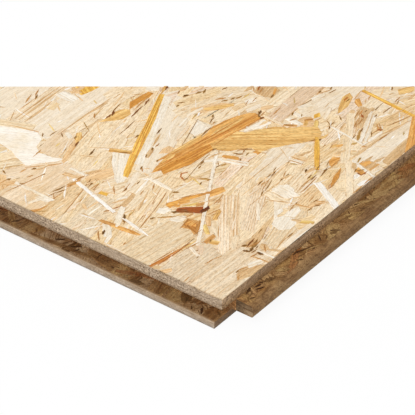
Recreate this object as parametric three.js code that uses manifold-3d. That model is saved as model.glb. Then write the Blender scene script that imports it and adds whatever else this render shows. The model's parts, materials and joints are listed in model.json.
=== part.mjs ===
// A tongue-and-groove oriented strand board (OSB) floor panel, lying flat, in millimetres, +Z up.
//
// The panel is one pressed board whose four edges are milled: a groove along the -X and +Y edges,
// and the tongue that fits it along the +X and -Y edges. Each groove is cut right through, so
// at the corners it also takes off the end of the tongue that it meets.
//
// The origin is on the underside, below the middle of the cover area, which is the area that
// one laid panel takes up. +X runs along the panel's length, the way that its strands lie.

import * as THREE from 'three';
import { mergeVertices } from 'three/addons/utils/BufferGeometryUtils.js';
import Module from 'manifold-3d';

// Cover area, from upper arris to upper arris, and the board's thickness.
const coverLength = 2500;
const coverWidth = 675;
const thickness = 18;

// Groove. Its mouth is between the upper lip and the lower lip, which stands out further.
const upperLipThickness = 6.05;
const grooveHeight = 7.6;
const grooveDepth = 11.5;
const grooveRootRadius = 0.5;
const lowerLipReach = 2.25;
const lowerLipMouthRadius = 0.6;

// Each flank of the groove closes in by this much from mouth to root, and the tongue's match it.
const flankTaper = 0.1;

// Fit of the tongue in the groove of the next panel: the top faces meet, everything else has play.
const upperFlankPlay = 0.2;
const lowerFlankPlay = 0.35;
const nosePlay = 1.2;
const undersideGap = 0.6;
const upperNoseRadius = 2.2;
const lowerNoseRadius = 0.9;

// The underside's outer arrises are eased. The top arrises are left sharp, to close the joint.
const undersideArrisRadius = 0.8;

const arcSegments = 6;
const widestFillet = 0.45;

// Heights above the underside that both profiles share.
const grooveTop = thickness - upperLipThickness;
const grooveBottom = grooveTop - grooveHeight;
const tongueTop = grooveTop - upperFlankPlay;
const tongueBottom = grooveBottom + lowerFlankPlay;
const tongueReach = grooveDepth - nosePlay;
const lowerShoulderSetback = lowerLipReach + undersideGap;

const wasm = await Module();
wasm.setup();

// Rounds one corner of an outline: the path runs up to the fillet, then round its arc.
function filletCorner(path, before, corner, after, radius) {
  const inward = before.clone().sub(corner).normalize();
  const outward = after.clone().sub(corner).normalize();
  const halfAngle = Math.acos(inward.dot(outward)) / 2;
  const centre = inward.clone().add(outward).normalize();
  centre.multiplyScalar(radius / Math.sin(halfAngle)).add(corner);
  const tangent = radius / Math.tan(halfAngle);
  const start = inward.multiplyScalar(tangent).add(corner);
  const end = outward.multiplyScalar(tangent).add(corner);
  const startAngle = Math.atan2(start.y - centre.y, start.x - centre.x);
  const endAngle = Math.atan2(end.y - centre.y, end.x - centre.x);
  const clockwise = start.clone().sub(centre).cross(end.clone().sub(centre)) < 0;
  path.lineTo(start.x, start.y);
  path.absarc(centre.x, centre.y, radius, startAngle, endAngle, clockwise);
}

// Closed outline through corners written as [x, y] or [x, y, radius].
function outline(corners) {
  const points = corners.map(([x, y]) => new THREE.Vector2(x, y));
  const shape = new THREE.Shape();
  shape.moveTo(points[0].x, points[0].y);
  for (let i = 1; i < corners.length; i += 1) {
    const radius = corners[i][2];
    if (radius) {
      const after = points[(i + 1) % corners.length];
      filletCorner(shape, points[i - 1], points[i], after, radius);
    } else {
      shape.lineTo(points[i].x, points[i].y);
    }
  }
  return shape;
}

// Section through the board between two opposite edges: x runs across it, from the groove edge
// on the left to the tongue edge on the right, and y is the height above the underside.
function millingProfile(cover) {
  const grooveEdge = -cover / 2;
  const tongueEdge = cover / 2;
  const lowerLipEdge = grooveEdge - lowerLipReach;
  const grooveRoot = grooveEdge + grooveDepth;
  const lowerShoulder = tongueEdge - lowerShoulderSetback;
  const nose = tongueEdge + tongueReach;
  const noseHeight = tongueTop - tongueBottom - 2 * flankTaper;
  const upperNose = Math.min(upperNoseRadius, widestFillet * noseHeight);
  const lowerNose = Math.min(lowerNoseRadius, widestFillet * noseHeight);
  const lipMouth = Math.min(lowerLipMouthRadius, widestFillet * grooveBottom);
  const eased = Math.min(undersideArrisRadius, widestFillet * grooveBottom);
  return outline([
    [0, 0],
    [lowerShoulder, 0, eased],
    [lowerShoulder, tongueBottom],
    [nose, tongueBottom + flankTaper, lowerNose],
    [nose, tongueTop - flankTaper, upperNose],
    [tongueEdge, tongueTop],
    [tongueEdge, thickness],
    [grooveEdge, thickness],
    [grooveEdge, grooveTop],
    [grooveRoot, grooveTop - flankTaper, grooveRootRadius],
    [grooveRoot, grooveBottom + flankTaper, grooveRootRadius],
    [lowerLipEdge, grooveBottom, lipMouth],
    [lowerLipEdge, 0, eased],
  ]);
}

// The profile as a bar along Y, centred on it, with the tongue on its +X side.
function milledBar(cover, length) {
  const geometry = new THREE.ExtrudeGeometry(millingProfile(cover), {
    depth: length,
    bevelEnabled: false,
    curveSegments: arcSegments,
  });
  return geometry.translate(0, 0, -length / 2).rotateX(Math.PI / 2);
}

function toSolid(geometry) {
  geometry.deleteAttribute('normal');
  geometry.deleteAttribute('uv');
  const merged = mergeVertices(geometry);
  return new wasm.Manifold(new wasm.Mesh({
    numProp: 3,
    vertProperties: merged.getAttribute('position').array,
    triVerts: new Uint32Array(merged.getIndex().array),
  }));
}

function toGeometry(solid) {
  const mesh = solid.getMesh();
  const geometry = new THREE.BufferGeometry();
  geometry.setAttribute('position', new THREE.BufferAttribute(mesh.vertProperties, 3));
  geometry.setIndex(new THREE.BufferAttribute(mesh.triVerts, 1));
  geometry.computeVertexNormals();
  return geometry;
}

// The four milled edges meet where two profiled bars cross: one is milled across the panel's
// length, and the other, turned so that its tongue faces -Y, across its width.
function milledPanel() {
  const overrun = 4 * (grooveDepth + tongueReach);
  const endsMilled = toSolid(milledBar(coverLength, coverWidth + overrun));
  const sidesBar = milledBar(coverWidth, coverLength + overrun).rotateZ(-Math.PI / 2);
  return toGeometry(endsMilled.intersect(toSolid(sidesBar)));
}

const strandBoard = new THREE.MeshStandardMaterial({
  color: new THREE.Color(0.86, 0.74, 0.56),
  roughness: 0.75,
  metalness: 0,
});

const osbPanel = new THREE.Mesh(milledPanel(), strandBoard);
osbPanel.name = 'osb_panel';

const panel = new THREE.Group();
panel.add(osbPanel);

export default panel;
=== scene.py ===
"""Looks of a tongue-and-groove OSB floor panel: pressed strands on both faces, milled edges.

The strands are laid in millimetres and turned into metres when a layer's mesh is made.
"""

import json
import math

import bmesh
import bpy
import numpy as np
from mathutils import Matrix, Vector


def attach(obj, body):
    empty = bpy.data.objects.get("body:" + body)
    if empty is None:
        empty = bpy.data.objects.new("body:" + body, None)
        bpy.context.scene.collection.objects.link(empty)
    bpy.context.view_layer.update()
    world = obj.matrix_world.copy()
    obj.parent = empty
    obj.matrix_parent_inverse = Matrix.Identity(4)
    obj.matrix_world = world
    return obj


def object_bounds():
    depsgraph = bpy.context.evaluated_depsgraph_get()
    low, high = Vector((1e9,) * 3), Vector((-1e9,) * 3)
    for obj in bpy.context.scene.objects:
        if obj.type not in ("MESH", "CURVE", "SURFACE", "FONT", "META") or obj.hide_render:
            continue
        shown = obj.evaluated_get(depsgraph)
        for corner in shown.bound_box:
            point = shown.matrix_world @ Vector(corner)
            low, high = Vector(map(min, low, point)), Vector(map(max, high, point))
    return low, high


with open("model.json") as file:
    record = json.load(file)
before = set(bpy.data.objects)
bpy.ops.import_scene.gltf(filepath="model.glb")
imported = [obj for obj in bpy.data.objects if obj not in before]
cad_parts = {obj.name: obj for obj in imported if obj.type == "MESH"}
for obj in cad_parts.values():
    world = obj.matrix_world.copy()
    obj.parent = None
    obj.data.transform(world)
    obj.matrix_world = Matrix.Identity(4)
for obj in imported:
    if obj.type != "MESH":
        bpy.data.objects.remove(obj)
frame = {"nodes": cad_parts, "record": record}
CAD_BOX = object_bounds()

MM = 0.001
BODY = "root"

# ---------------------------------------------------------------- the panel, from the frame

PANEL = frame["nodes"]["osb_panel"]
MOUNTS = {mount["name"]: Vector(mount["pos_m"]) for mount in frame["record"]["mounts"]}
TOP = MOUNTS["top_face"].z / MM
WEST = MOUNTS["end_lip_face"].x / MM
EAST = MOUNTS["end_shoulder_face"].x / MM
NORTH = MOUNTS["side_lip_face"].y / MM
SOUTH = MOUNTS["side_shoulder_face"].y / MM

# How far the lower lips and the tongues stand out of the cover area, to 0.01 mm.
LIP_REACH = round(WEST - CAD_BOX[0][0] / MM, 2)
TONGUE_REACH = round(CAD_BOX[1][0] / MM - EAST, 2)

# The rest of the milled joint: heights of the flanks above the underside and how much they
# close in towards the groove's root, how far the groove and the lower shoulder lie inside
# the cover area, and the radii of the rounded corners.
TONGUE_TOP = 11.75
LOWER_FLANK = 4.35
FLANK_TAPER = 0.1
GROOVE_DEPTH = 11.5
LOWER_SHOULDER_SETBACK = 2.85
GROOVE_ROOT_ROUND = 0.5
TONGUE_NOSE_ROUND = 2.2
LIP_MOUTH_ROUND = 0.6
UNDERSIDE_ARRIS_ROUND = 0.8

# The lower part of the panel lies between the lower lips and the lower shoulders.
LOWER_WEST = WEST - LIP_REACH
LOWER_NORTH = NORTH + LIP_REACH
LOWER_EAST = EAST - LOWER_SHOULDER_SETBACK
LOWER_SOUTH = SOUTH + LOWER_SHOULDER_SETBACK

# The underside's strands are laid as on a top face and turned over about the X axis.
UNDERSIDE_LOW = (LOWER_WEST + UNDERSIDE_ARRIS_ROUND, UNDERSIDE_ARRIS_ROUND - LOWER_NORTH)
UNDERSIDE_HIGH = (LOWER_EAST - UNDERSIDE_ARRIS_ROUND, -LOWER_SOUTH - UNDERSIDE_ARRIS_ROUND)
UNDERSIDE_TURN = Matrix.Rotation(math.pi, 4, "X")

# ---------------------------------------------------------------- tones


def srgb(red, green, blue):
    """Linear colour of a tone written as 0-255 screen values."""
    def channel(value):
        value /= 255
        return value / 12.92 if value <= 0.04045 else ((value + 0.055) / 1.055) ** 2.4
    return (channel(red), channel(green), channel(blue))


# Tone of the pale wood between the growth rings, and how strongly the rings show.
TONES = {
    "white": (srgb(250, 244, 234), 0.3),
    "milky": (srgb(247, 238, 223), 0.4),
    "near_white": (srgb(245, 234, 215), 0.4),
    "cream": (srgb(243, 222, 187), 0.85),
    "plain_cream": (srgb(242, 222, 190), 0.55),
    "beige": (srgb(237, 214, 182), 0.4),
    "oat": (srgb(232, 214, 185), 0.6),
    "dull_cream": (srgb(230, 210, 180), 0.8),
    "wheat": (srgb(233, 212, 178), 1.0),
    "pale_beige": (srgb(241, 225, 200), 0.3),
    "straw": (srgb(240, 214, 171), 0.9),
    "pinkish": (srgb(240, 217, 190), 0.85),
    "rosy": (srgb(229, 202, 171), 0.5),
    "honey": (srgb(237, 208, 165), 0.75),
    "tan": (srgb(220, 186, 140), 0.7),
    "peach": (srgb(236, 200, 152), 0.5),
    "yellow": (srgb(236, 205, 132), 0.5),
    "golden": (srgb(243, 197, 98), 1.0),
    "light_amber": (srgb(235, 194, 126), 0.8),
    "amber": (srgb(231, 176, 102), 1.0),
    "deep_amber": (srgb(226, 165, 83), 1.0),
    "toffee": (srgb(210, 158, 96), 1.0),
    "cinnamon": (srgb(198, 130, 64), 0.4),
    "striped": (srgb(244, 225, 197), 1.7),
    "olive": (srgb(184, 150, 90), 0.4),
    "mahogany": (srgb(160, 86, 38), 0.9),
    "burnt": (srgb(106, 52, 18), 0.6),
    "rust": (srgb(182, 128, 66), 0.2),
    "bark": (srgb(124, 90, 44), 0.2),
    # This tone is painted shadow: the dark in the deep gaps between strands.
    "void": (srgb(84, 58, 28), 0.0),
    "fawn": (srgb(152, 120, 80), 1.0),
    "hazel": (srgb(134, 99, 62), 1.0),
    "russet": (srgb(138, 93, 56), 1.0),
    "umber": (srgb(104, 74, 42), 0.6),
    "char": (srgb(74, 47, 24), 0.2),
}

# Shares of the tones in each kind of layer.
FACE_TONES = {
    "cream": 26, "plain_cream": 12, "straw": 18, "pinkish": 12, "near_white": 7, "rosy": 4,
    "tan": 9, "yellow": 3, "amber": 4, "deep_amber": 1.2, "olive": 0.6, "mahogany": 0.3,
}
SLIVER_TONES = {
    "near_white": 16, "cream": 18, "straw": 12, "yellow": 6, "golden": 6, "amber": 10,
    "deep_amber": 6, "tan": 10, "mahogany": 2, "rosy": 4,
}
# A few chips take the tone of painted shadow in the gaps between strands.
CHIP_TONES = {
    "near_white": 10, "cream": 12, "straw": 10, "tan": 12, "amber": 10, "deep_amber": 6,
    "yellow": 6, "olive": 3, "mahogany": 3, "bark": 2, "void": 1,
}
BED_TONES = {"cream": 10, "plain_cream": 6, "straw": 6, "pinkish": 4, "near_white": 3}
FIBRE_TONES = {"white": 5, "near_white": 9, "tan": 3, "peach": 3, "yellow": 1, "olive": 0.7}
FLANK_TONES = {"fawn": 10, "hazel": 15, "russet": 5, "umber": 2}
CRACK_TONES = {"fawn": 3, "umber": 8, "char": 7, "hazel": 5}

# How strands of one tone differ: in brightness, in warmth, which moves red, green and blue by
# these shares, and in how strongly their rings show.
BRIGHTNESS = (0.93, 1.05)
WARMTH = 0.025
WARMTH_SHARES = (0.5, 0, -1.5)
RING_STRENGTHS = (0.5, 1.3)

# ---------------------------------------------------------------- strand sizes, in mm

LAYER_SEED = 41

# A scattered strand's upper face lies between these heights above the face that it is
# pressed into, and every strand is STRAND_DEPTH thick.
LOWEST_STRAND = 0.05
HIGHEST_STRAND = 0.42
STRAND_DEPTH = 0.5

# A strand's rim slopes down over RIM_WIDTH by RIM_DROP. On a narrow strand these shares of its
# width hold, and for the rim its narrower end counts as LEAST_END of its width or more.
RIM_WIDTH = 0.45
RIM_DROP = 0.09
RIM_SHARE = 0.22
DROP_SHARE = 0.02
LEAST_END = 0.3

# How far a strand's outline strays, as shares of its width, and how far the stations between
# its ends shift along it.
SIDE_FRAY = 0.03
END_FRAY = 0.1
END_TEAR = 0.1
STATION_SHIFT = 0.4

# A scattered strand: scale of its shape, spacing of its rings, how far they run off its own
# direction, and how much higher one of its ends may lie than the other.
STRAND_SCALES = (0.75, 1.25)
RING_SPACINGS = (1.2, 3.6)
RING_DRIFT = 0.035
END_LIFT = 0.04

# Each strand's grain starts somewhere within this range, so that no two are alike.
GRAIN_RANGE = 900

# A layer is trimmed TRIM_INSET inside the arrises of its face. A corner of a strand that lies
# within TRIM_TOLERANCE of the cut counts as on it.
TRIM_INSET = 0.03
TRIM_TOLERANCE = 1e-5

# The scattered layers of a face, from the lowest to the highest: strands on the top face,
# tones, spread of the headings in degrees, share of strands that lie any way round, and the
# part of the strands' height that the layer has, from where and how much of it. The
# underside has fewer strands, by UNDERSIDE_SHARE.
FACE_LAYERS = {
    "broad": (2300, FACE_TONES, 24, 0.22, 0.0, 0.6),
    "split": (2200, FACE_TONES, 28, 0.3, 0.2, 0.6),
    "sliver": (1700, SLIVER_TONES, 35, 0.35, 0.5, 0.4),
    "chip": (2400, CHIP_TONES, 45, 0.5, 0.6, 0.35),
}
UNDERSIDE_SHARE = 0.6

# Scattered strands within this reach of the listed strands by the corner stay in this share of the
# strands' height.
CORNER_REACH = (290, 290)
CORNER_BED = 0.3

# Heights of the listed strands, lowest and highest of each kind.
BROAD_HEIGHTS = (0.18, 0.25)
PATCH_HEIGHTS = (0.26, 0.31)
WORKED_HEIGHTS = (0.31, 0.40)
MARK_HEIGHTS = (0.42, 0.46)

# A listed strand: past which width it has two rows of faces, its stations, its bow as a
# share of its length, its brightness, the spacing of its rings and how far they run off.
WIDE_STRAND = 7
HAND_LAID_STATIONS = 6
HAND_LAID_BOW = 0.004
HAND_LAID_BRIGHTNESS = (0.97, 1.03)
HAND_LAID_SPACINGS = (1.0, 2.4)
HAND_LAID_DRIFT = 0.02

# Tone that a listed strand takes towards its rim, and how much of it. A mark of one of the
# tones of PALE_MARKS has the pale edge.
STRAND_EDGE = ("cream", 0.2)
PATCH_EDGE = ("cream", 0.25)
SHADE_EDGE = ("peach", 0.4)
SPLINTER_EDGE = ("umber", 0.3)
PALE_MARK_EDGE = ("peach", 0.35)
DARK_MARK_EDGE = ("amber", 0.35)
PALE_MARKS = ("rust", "tan")

# A patch: width of its rim, and how far apart the points of its frayed outline lie and stray.
PATCH_RIM = 0.4
PATCH_STEP = 5
PATCH_FRAY = 0.25

# A mark: how much narrower its tips are, how that builds up, how far its outline strays as
# shares of its length and of its width, and how far its sides lie below its middle.
MARK_TAPER = 0.85
MARK_TAPER_POWER = 1.5
MARK_STRAY = 0.03
MARK_WIDTHS = (0.4, 1.6)
MARK_DROP = 0.015

# A mark is narrower than its row says, by this share, and longer, by this much. Its bow is a
# share of its length, up to a limit.
MARK_SPREAD = 0.88
MARK_OVERRUN = 0.8
MARK_BOW = 0.04
MOST_MARK_BOW = 0.4

# Shadow lines along the sides of a broad strand: tones, how far inside its sides, above it,
# where they start and how far they run as shares of its length, their widths and bow.
SHADE_TONES = {"rust": 0.5, "bark": 0.3, "tan": 0.2}
SHADE_INSET = 0.3
SHADE_LIFT = 0.0005
SHADE_STARTS = (0.05, 0.55)
SHADE_RUNS = (0.2, 0.4)
SHADE_WIDTHS = (0.45, 0.8)
SHADE_BOW = 0.3

# Loose fibres over the listed strands by the corner: how many shapes and fibres, over which area,
# their sizes and heights, and how they lie.
FIBRE_SHAPES = 12
FIBRE_COUNT = 420
FIBRE_AREA = (205, 190)
FIBRE_LENGTHS = (3, 14)
FIBRE_WIDTHS = (0.4, 0.9)
FIBRE_BOW = 0.2
FIBRE_HEIGHTS = (0.240, 0.2425)
FIBRE_HEADING = 8
FIBRE_SPREAD = 40
FIBRE_STRAY = 0.2

# Bared strands and cracks on the milled flanks: tones, length and width of the largest, how
# many to a square millimetre, and how high the lowest lies. The others lie up to FLANK_RISE
# higher.
FLANK_LAYERS = ((FLANK_TONES, 40, 11, 0.011, 0.05), (CRACK_TONES, 6, 1.3, 0.03, 0.11))
FLANK_RISE = 0.05
FLANK_SPREAD = 45
FLANK_STRAY = 0.4

# The listed splinters on the side tongue.
SPLINTER_HEIGHT = 0.17
SPLINTER_BOW = 0.2


# ---------------------------------------------------------------- strand shapes

def strand_shape(length, width, start, end, reach, slant, bow, rng, rows=1, stations=4):
    """A closed strand lying along X with its upper face at z = 0, in mm.

    start and end are the widths left at its two ends, as shares of width, and reach is the
    share of the length over which it narrows to them. slant shears the cut ends, and bow
    curves the whole strand sideways.
    """
    bm = bmesh.new()
    bmesh.ops.create_grid(bm, x_segments=stations, y_segments=rows, size=0.5)
    for vert in bm.verts:
        along = vert.co.x
        side = 2 * vert.co.y
        start_share = min(1, (along + 0.5) / reach)
        end_share = min(1, (0.5 - along) / reach)
        share = min(start + (1 - start) * start_share, end + (1 - end) * end_share)
        at_end = abs(along) == 0.5
        fray = END_FRAY if at_end else SIDE_FRAY
        shift = END_TEAR * width if at_end else STATION_SHIFT
        frayed = share + rng.uniform(-fray, fray)
        slanted = side * slant * share * width / 2
        vert.co.x = along * length + slanted + rng.uniform(-shift, shift)
        vert.co.y = side * frayed * width / 2 + bow * (1 - 4 * along * along)
    rim = min(RIM_WIDTH, RIM_SHARE * width * max(min(start, end), LEAST_END))
    return closed_strand(bm, rim, min(RIM_DROP, DROP_SHARE * width), length)


def closed_strand(bm, rim, drop, length):
    """Slopes the rim of a flat strand, gives it its depth and closes it."""
    upper = bm.faces[:]
    bmesh.ops.inset_region(bm, faces=upper, thickness=rim, use_boundary=True,
                           use_even_offset=True)
    outer = {vert for edge in bm.edges if edge.is_boundary for vert in edge.verts}
    for vert in outer:
        vert.co.z = -drop
    bmesh.ops.dissolve_faces(bm, faces=upper)
    deepen(bm)
    rim_share = np.array([0.0 if vert.co.z > -drop / 2 else 1.0 for vert in bm.verts])
    return shape_of(bm, rim_share, rim_share, length)


def open_rim(bm):
    """The edges that a mesh has on one side only."""
    return [edge for edge in bm.edges if edge.is_boundary]


def deepen(bm):
    """Pulls the open rim of a flat strand down into the board and closes its underside."""
    walls = bmesh.ops.extrude_edge_only(bm, edges=open_rim(bm))
    for part in walls["geom"]:
        if isinstance(part, bmesh.types.BMVert):
            part.co.z = -STRAND_DEPTH
    bmesh.ops.holes_fill(bm, edges=open_rim(bm), sides=0)
    bmesh.ops.recalc_face_normals(bm, faces=bm.faces)


def shape_of(bm, rim, fade, length):
    """A finished strand as plain lists: rim is where painted shade and dirt may darken its torn
    edge, fade where it pales.

    The operators leave the faces in no fixed order, so they are sorted.
    """
    bm.verts.index_update()
    coords = np.array([vert.co for vert in bm.verts])
    faces = sorted([vert.index for vert in face.verts] for face in bm.faces)
    bm.free()
    return {"coords": coords, "faces": faces, "rim": rim, "fade": fade, "length": length}


def mark_shape(length, width, bow, rng):
    """A thin ragged streak, pointed at both ends, that fades from its middle to its sides."""
    bm = bmesh.new()
    bmesh.ops.create_grid(bm, x_segments=6, y_segments=2, size=0.5)
    for vert in bm.verts:
        along, side = vert.co.x, 2 * vert.co.y
        share = 1 - MARK_TAPER * (2 * abs(along)) ** MARK_TAPER_POWER
        vert.co.x = along * length + rng.uniform(-MARK_STRAY, MARK_STRAY) * length
        vert.co.y = side * share * width / 2 * rng.uniform(*MARK_WIDTHS)
        vert.co.y += bow * (1 - 4 * along * along)
        vert.co.z = -MARK_DROP * abs(side)
    fade = [1.0 if vert.is_boundary else 0.0 for vert in bm.verts]
    deepen(bm)
    fade += [1.0] * (len(bm.verts) - len(fade))
    return shape_of(bm, np.zeros(len(fade)), np.array(fade), length)


def patch_shape(corners, heading, rng):
    """A torn strand with the outline given in mm, and its grain along a heading in degrees."""
    turn = math.radians(-heading)
    turned = [(x * math.cos(turn) - y * math.sin(turn), x * math.sin(turn) + y * math.cos(turn))
              for x, y in corners]
    bm = bmesh.new()
    verts = []
    for (x0, y0), (x1, y1) in zip(turned, turned[1:] + turned[:1]):
        steps = max(1, round(math.hypot(x1 - x0, y1 - y0) / PATCH_STEP))
        for step in range(steps):
            share = step / steps
            fray = rng.uniform(-PATCH_FRAY, PATCH_FRAY, 2)
            verts.append(bm.verts.new((x0 + (x1 - x0) * share + fray[0],
                                       y0 + (y1 - y0) * share + fray[1], 0)))
    bm.faces.new(verts)
    bmesh.ops.recalc_face_normals(bm, faces=bm.faces)
    if bm.faces[:][0].normal.z < 0:
        bmesh.ops.reverse_faces(bm, faces=bm.faces)
    length = max(x for x, _ in turned) - min(x for x, _ in turned)
    return closed_strand(bm, PATCH_RIM, RIM_DROP, length)


def random_shape(rng, length, width, start, end, reach, slant, bow, rows=1, stations=4):
    """A strand whose sizes are drawn between two limits each. Slant and bow go either way."""
    limits = (length, width, start, end, reach, (-slant, slant), (-bow, bow))
    sizes = [rng.uniform(low, high) for low, high in limits]
    return strand_shape(*sizes, rng, rows, stations)


def broad_shapes(rng):
    """Whole strands, cut square or a little slanted, every third narrowing to one end."""
    whole = {"length": (80, 118), "width": (14, 28), "start": (0.8, 1), "end": (0.8, 1),
             "reach": (0.2, 0.6), "slant": 0.5, "bow": 1.5, "rows": 2, "stations": 5}
    narrowing = {**whole, "end": (0.2, 0.6)}
    return [random_shape(rng, **(whole if index % 3 else narrowing)) for index in range(14)]


def split_shapes(rng):
    """Strands that split lengthwise when they were cut: narrower, often pointed."""
    return [random_shape(rng, length=(45, 85), width=(6, 12), start=(0.4, 1), end=(0.2, 1),
                         reach=(0.15, 0.5), slant=0.9, bow=1) for _ in range(12)]


def sliver_shapes(rng):
    """Thin splinters, pointed at one end or both."""
    return [random_shape(rng, length=(30, 80), width=(1.8, 4), start=(0.25, 0.8),
                         end=(0.15, 0.5), reach=(0.2, 0.5), slant=1, bow=1) for _ in range(10)]


def chip_shapes(rng):
    """Short broken bits."""
    return [random_shape(rng, length=(6, 20), width=(1.5, 6), start=(0.4, 1), end=(0.2, 1),
                         reach=(0.3, 0.5), slant=1, bow=0.5, stations=2) for _ in range(12)]


def flank_shapes(rng, longest, widest):
    """What is left of strands that the milling has cut through at a slant."""
    return [random_shape(rng, length=(0.3 * longest, longest), width=(0.3 * widest, widest),
                         start=(0.2, 1), end=(0.2, 0.8), reach=(0.3, 0.5), slant=1,
                         bow=0.1 * widest, stations=3) for _ in range(14)]


# ---------------------------------------------------------------- laying strands

def pick_tones(rng, count, shares):
    """Random tones for count strands: colours, and ring strengths with some spread."""
    names = list(shares)
    weights = np.array([shares[name] for name in names], float)
    picked = rng.choice(len(names), size=count, p=weights / weights.sum())
    colours = np.array([TONES[name][0] for name in names])[picked]
    rings = np.array([TONES[name][1] for name in names])[picked]
    brightness = rng.uniform(*BRIGHTNESS, (count, 1))
    warmth = rng.normal(0, WARMTH, (count, 1)) * np.array([WARMTH_SHARES])
    colours = np.clip(colours * brightness * (1 + warmth), 0, 1)
    return colours, np.clip(rings * rng.uniform(*RING_STRENGTHS, count), 0, 1)


def even_spread(rng, count, low, high):
    """count points over a rectangle, one at random in each cell of an even grid."""
    size = np.subtract(high, low)
    across = max(1, round(math.sqrt(count * size[1] / size[0])))
    along = math.ceil(count / across)
    cells = np.stack(np.meshgrid(np.arange(along), np.arange(across)), -1).reshape(-1, 2)
    cells = rng.permutation(cells)[:count]
    return low + (cells + rng.uniform(0, 1, cells.shape)) / (along, across) * size


def scatter(rng, shapes, count, low, high, shares, heading, spread, stray):
    """count strands at random over a rectangle, most of them lying near one heading."""
    colours, rings = pick_tones(rng, count, shares)
    turn = rng.normal(heading, spread, count)
    loose = rng.uniform(0, 1, count) < stray
    turn = np.where(loose, rng.uniform(-90, 90, count), turn)
    turn = turn + 180 * rng.integers(0, 2, count)
    return {
        "shape": rng.integers(0, len(shapes), count),
        "place": even_spread(rng, count, low, high),
        "turn": np.radians(turn),
        "scale": rng.uniform(*STRAND_SCALES, (count, 2)),
        "colour": colours,
        "ring": rings,
        "spacing": rng.uniform(*RING_SPACINGS, count),
        "drift": rng.normal(0, RING_DRIFT, count),
    }


class StrandLayer:
    """Collects closed strands in mm and joins them into one mesh with its grain on it."""

    def __init__(self, rng):
        self.rng = rng
        self.coords, self.faces = [], []
        self.grain, self.tone, self.rim, self.spacing = [], [], [], []
        self.count = 0

    def lay(self, shape, place, turn, scale, colour, ring, spacing, drift, height,
            tilt=(0, 0), edge_colour=None):
        """Adds one strand whose upper face is height above the face it is pressed into.

        Where it fades, the strand takes edge_colour, if one is given.
        """
        own = shape["coords"] * (scale[0], scale[1], 1)
        cosine, sine = math.cos(turn), math.sin(turn)
        x = own[:, 0] * cosine - own[:, 1] * sine + place[0]
        y = own[:, 0] * sine + own[:, 1] * cosine + place[1]
        z = own[:, 2] + height + own[:, 0] * tilt[0] + own[:, 1] * tilt[1]
        self.coords.append(np.stack([x, y, z], 1))
        self.faces += [[self.count + index for index in face] for face in shape["faces"]]
        self.count += len(own)
        start = self.rng.uniform(0, GRAIN_RANGE, 2)
        across = own[:, 1] + own[:, 0] * drift + start[1]
        seed = np.full(len(own), self.rng.integers(0, GRAIN_RANGE) + 0.5)
        self.grain.append(np.stack([own[:, 0] + start[0], across, seed], 1))
        edge_colour = colour if edge_colour is None else edge_colour
        fade = shape["fade"][:, None]
        tone = np.asarray(colour) * (1 - fade) + np.asarray(edge_colour) * fade
        self.tone.append(np.concatenate([tone, np.full((len(own), 1), ring)], 1))
        self.rim.append(shape["rim"])
        self.spacing.append(np.full(len(own), spacing))

    def lay_all(self, shapes, strands, heights):
        """Adds scattered strands, each at its own height."""
        given = ("place", "turn", "scale", "colour", "ring", "spacing", "drift")
        for index, height in enumerate(heights):
            shape = shapes[strands["shape"][index]]
            steepness = END_LIFT / shape["length"]
            self.lay(shape, *(strands[name][index] for name in given), height,
                     self.rng.uniform(-steepness, steepness, 2))

    def bmesh(self):
        """The layer as a bmesh with its grain, tone, rim and ring spacing at its vertices."""
        mesh = bpy.data.meshes.new("strands")
        mesh.from_pydata(np.concatenate(self.coords).tolist(), [], self.faces)
        for name, kind, key, values in (
                ("grain", "FLOAT_VECTOR", "vector", self.grain),
                ("tone", "FLOAT_COLOR", "color", self.tone),
                ("rim", "FLOAT", "value", self.rim),
                ("spacing", "FLOAT", "value", self.spacing)):
            attribute = mesh.attributes.new(name, kind, "POINT")
            attribute.data.foreach_set(key, np.concatenate(values).ravel().astype(np.float32))
        bm = bmesh.new()
        bm.from_mesh(mesh)
        bpy.data.meshes.remove(mesh)
        return bm


def trim(bm, low, high):
    """Saws a layer off at the sides of a rectangle, and closes the cut strands.

    The parts to cut are listed in their own order, so that each run gives the same mesh.
    """
    for axis in (0, 1):
        for limit, outward in ((low[axis] + TRIM_INSET, -1), (high[axis] - TRIM_INSET, 1)):
            point, normal = Vector(), Vector()
            point[axis] = limit
            normal[axis] = outward
            crossing = [face for face in bm.faces
                        if any((vert.co[axis] - limit) * outward > 0 for vert in face.verts)]
            parts = dict.fromkeys(part for face in crossing
                                  for part in (face, *face.verts, *face.edges))
            bmesh.ops.bisect_plane(bm, geom=list(parts), dist=TRIM_TOLERANCE, plane_co=point,
                                   plane_no=normal, clear_outer=True)
            bmesh.ops.holes_fill(bm, edges=open_rim(bm), sides=0)


def finish_layer(layer, low, high, name, place, finish):
    """Trims a layer to a rectangle and puts it into the scene as one piece in metres."""
    bm = layer.bmesh()
    trim(bm, low, high)
    bmesh.ops.transform(bm, matrix=Matrix.Scale(MM, 4) @ place, verts=bm.verts)
    mesh = bpy.data.meshes.new(name)
    bm.to_mesh(mesh)
    bm.free()
    mesh.materials.append(finish)
    piece = bpy.data.objects.new(name, mesh)
    bpy.context.scene.collection.objects.link(piece)
    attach(piece, BODY)


# ---------------------------------------------------------------- random layers of the faces

def face_layers(rng, shapes, share, low, high):
    """Scattered strands of one face, from the lowest layer to the highest."""
    return [scatter(rng, kind, round(share * count), low, high, tones, 0, spread, stray)
            for kind, (count, tones, spread, stray, *_) in zip(shapes, FACE_LAYERS.values())]


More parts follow.
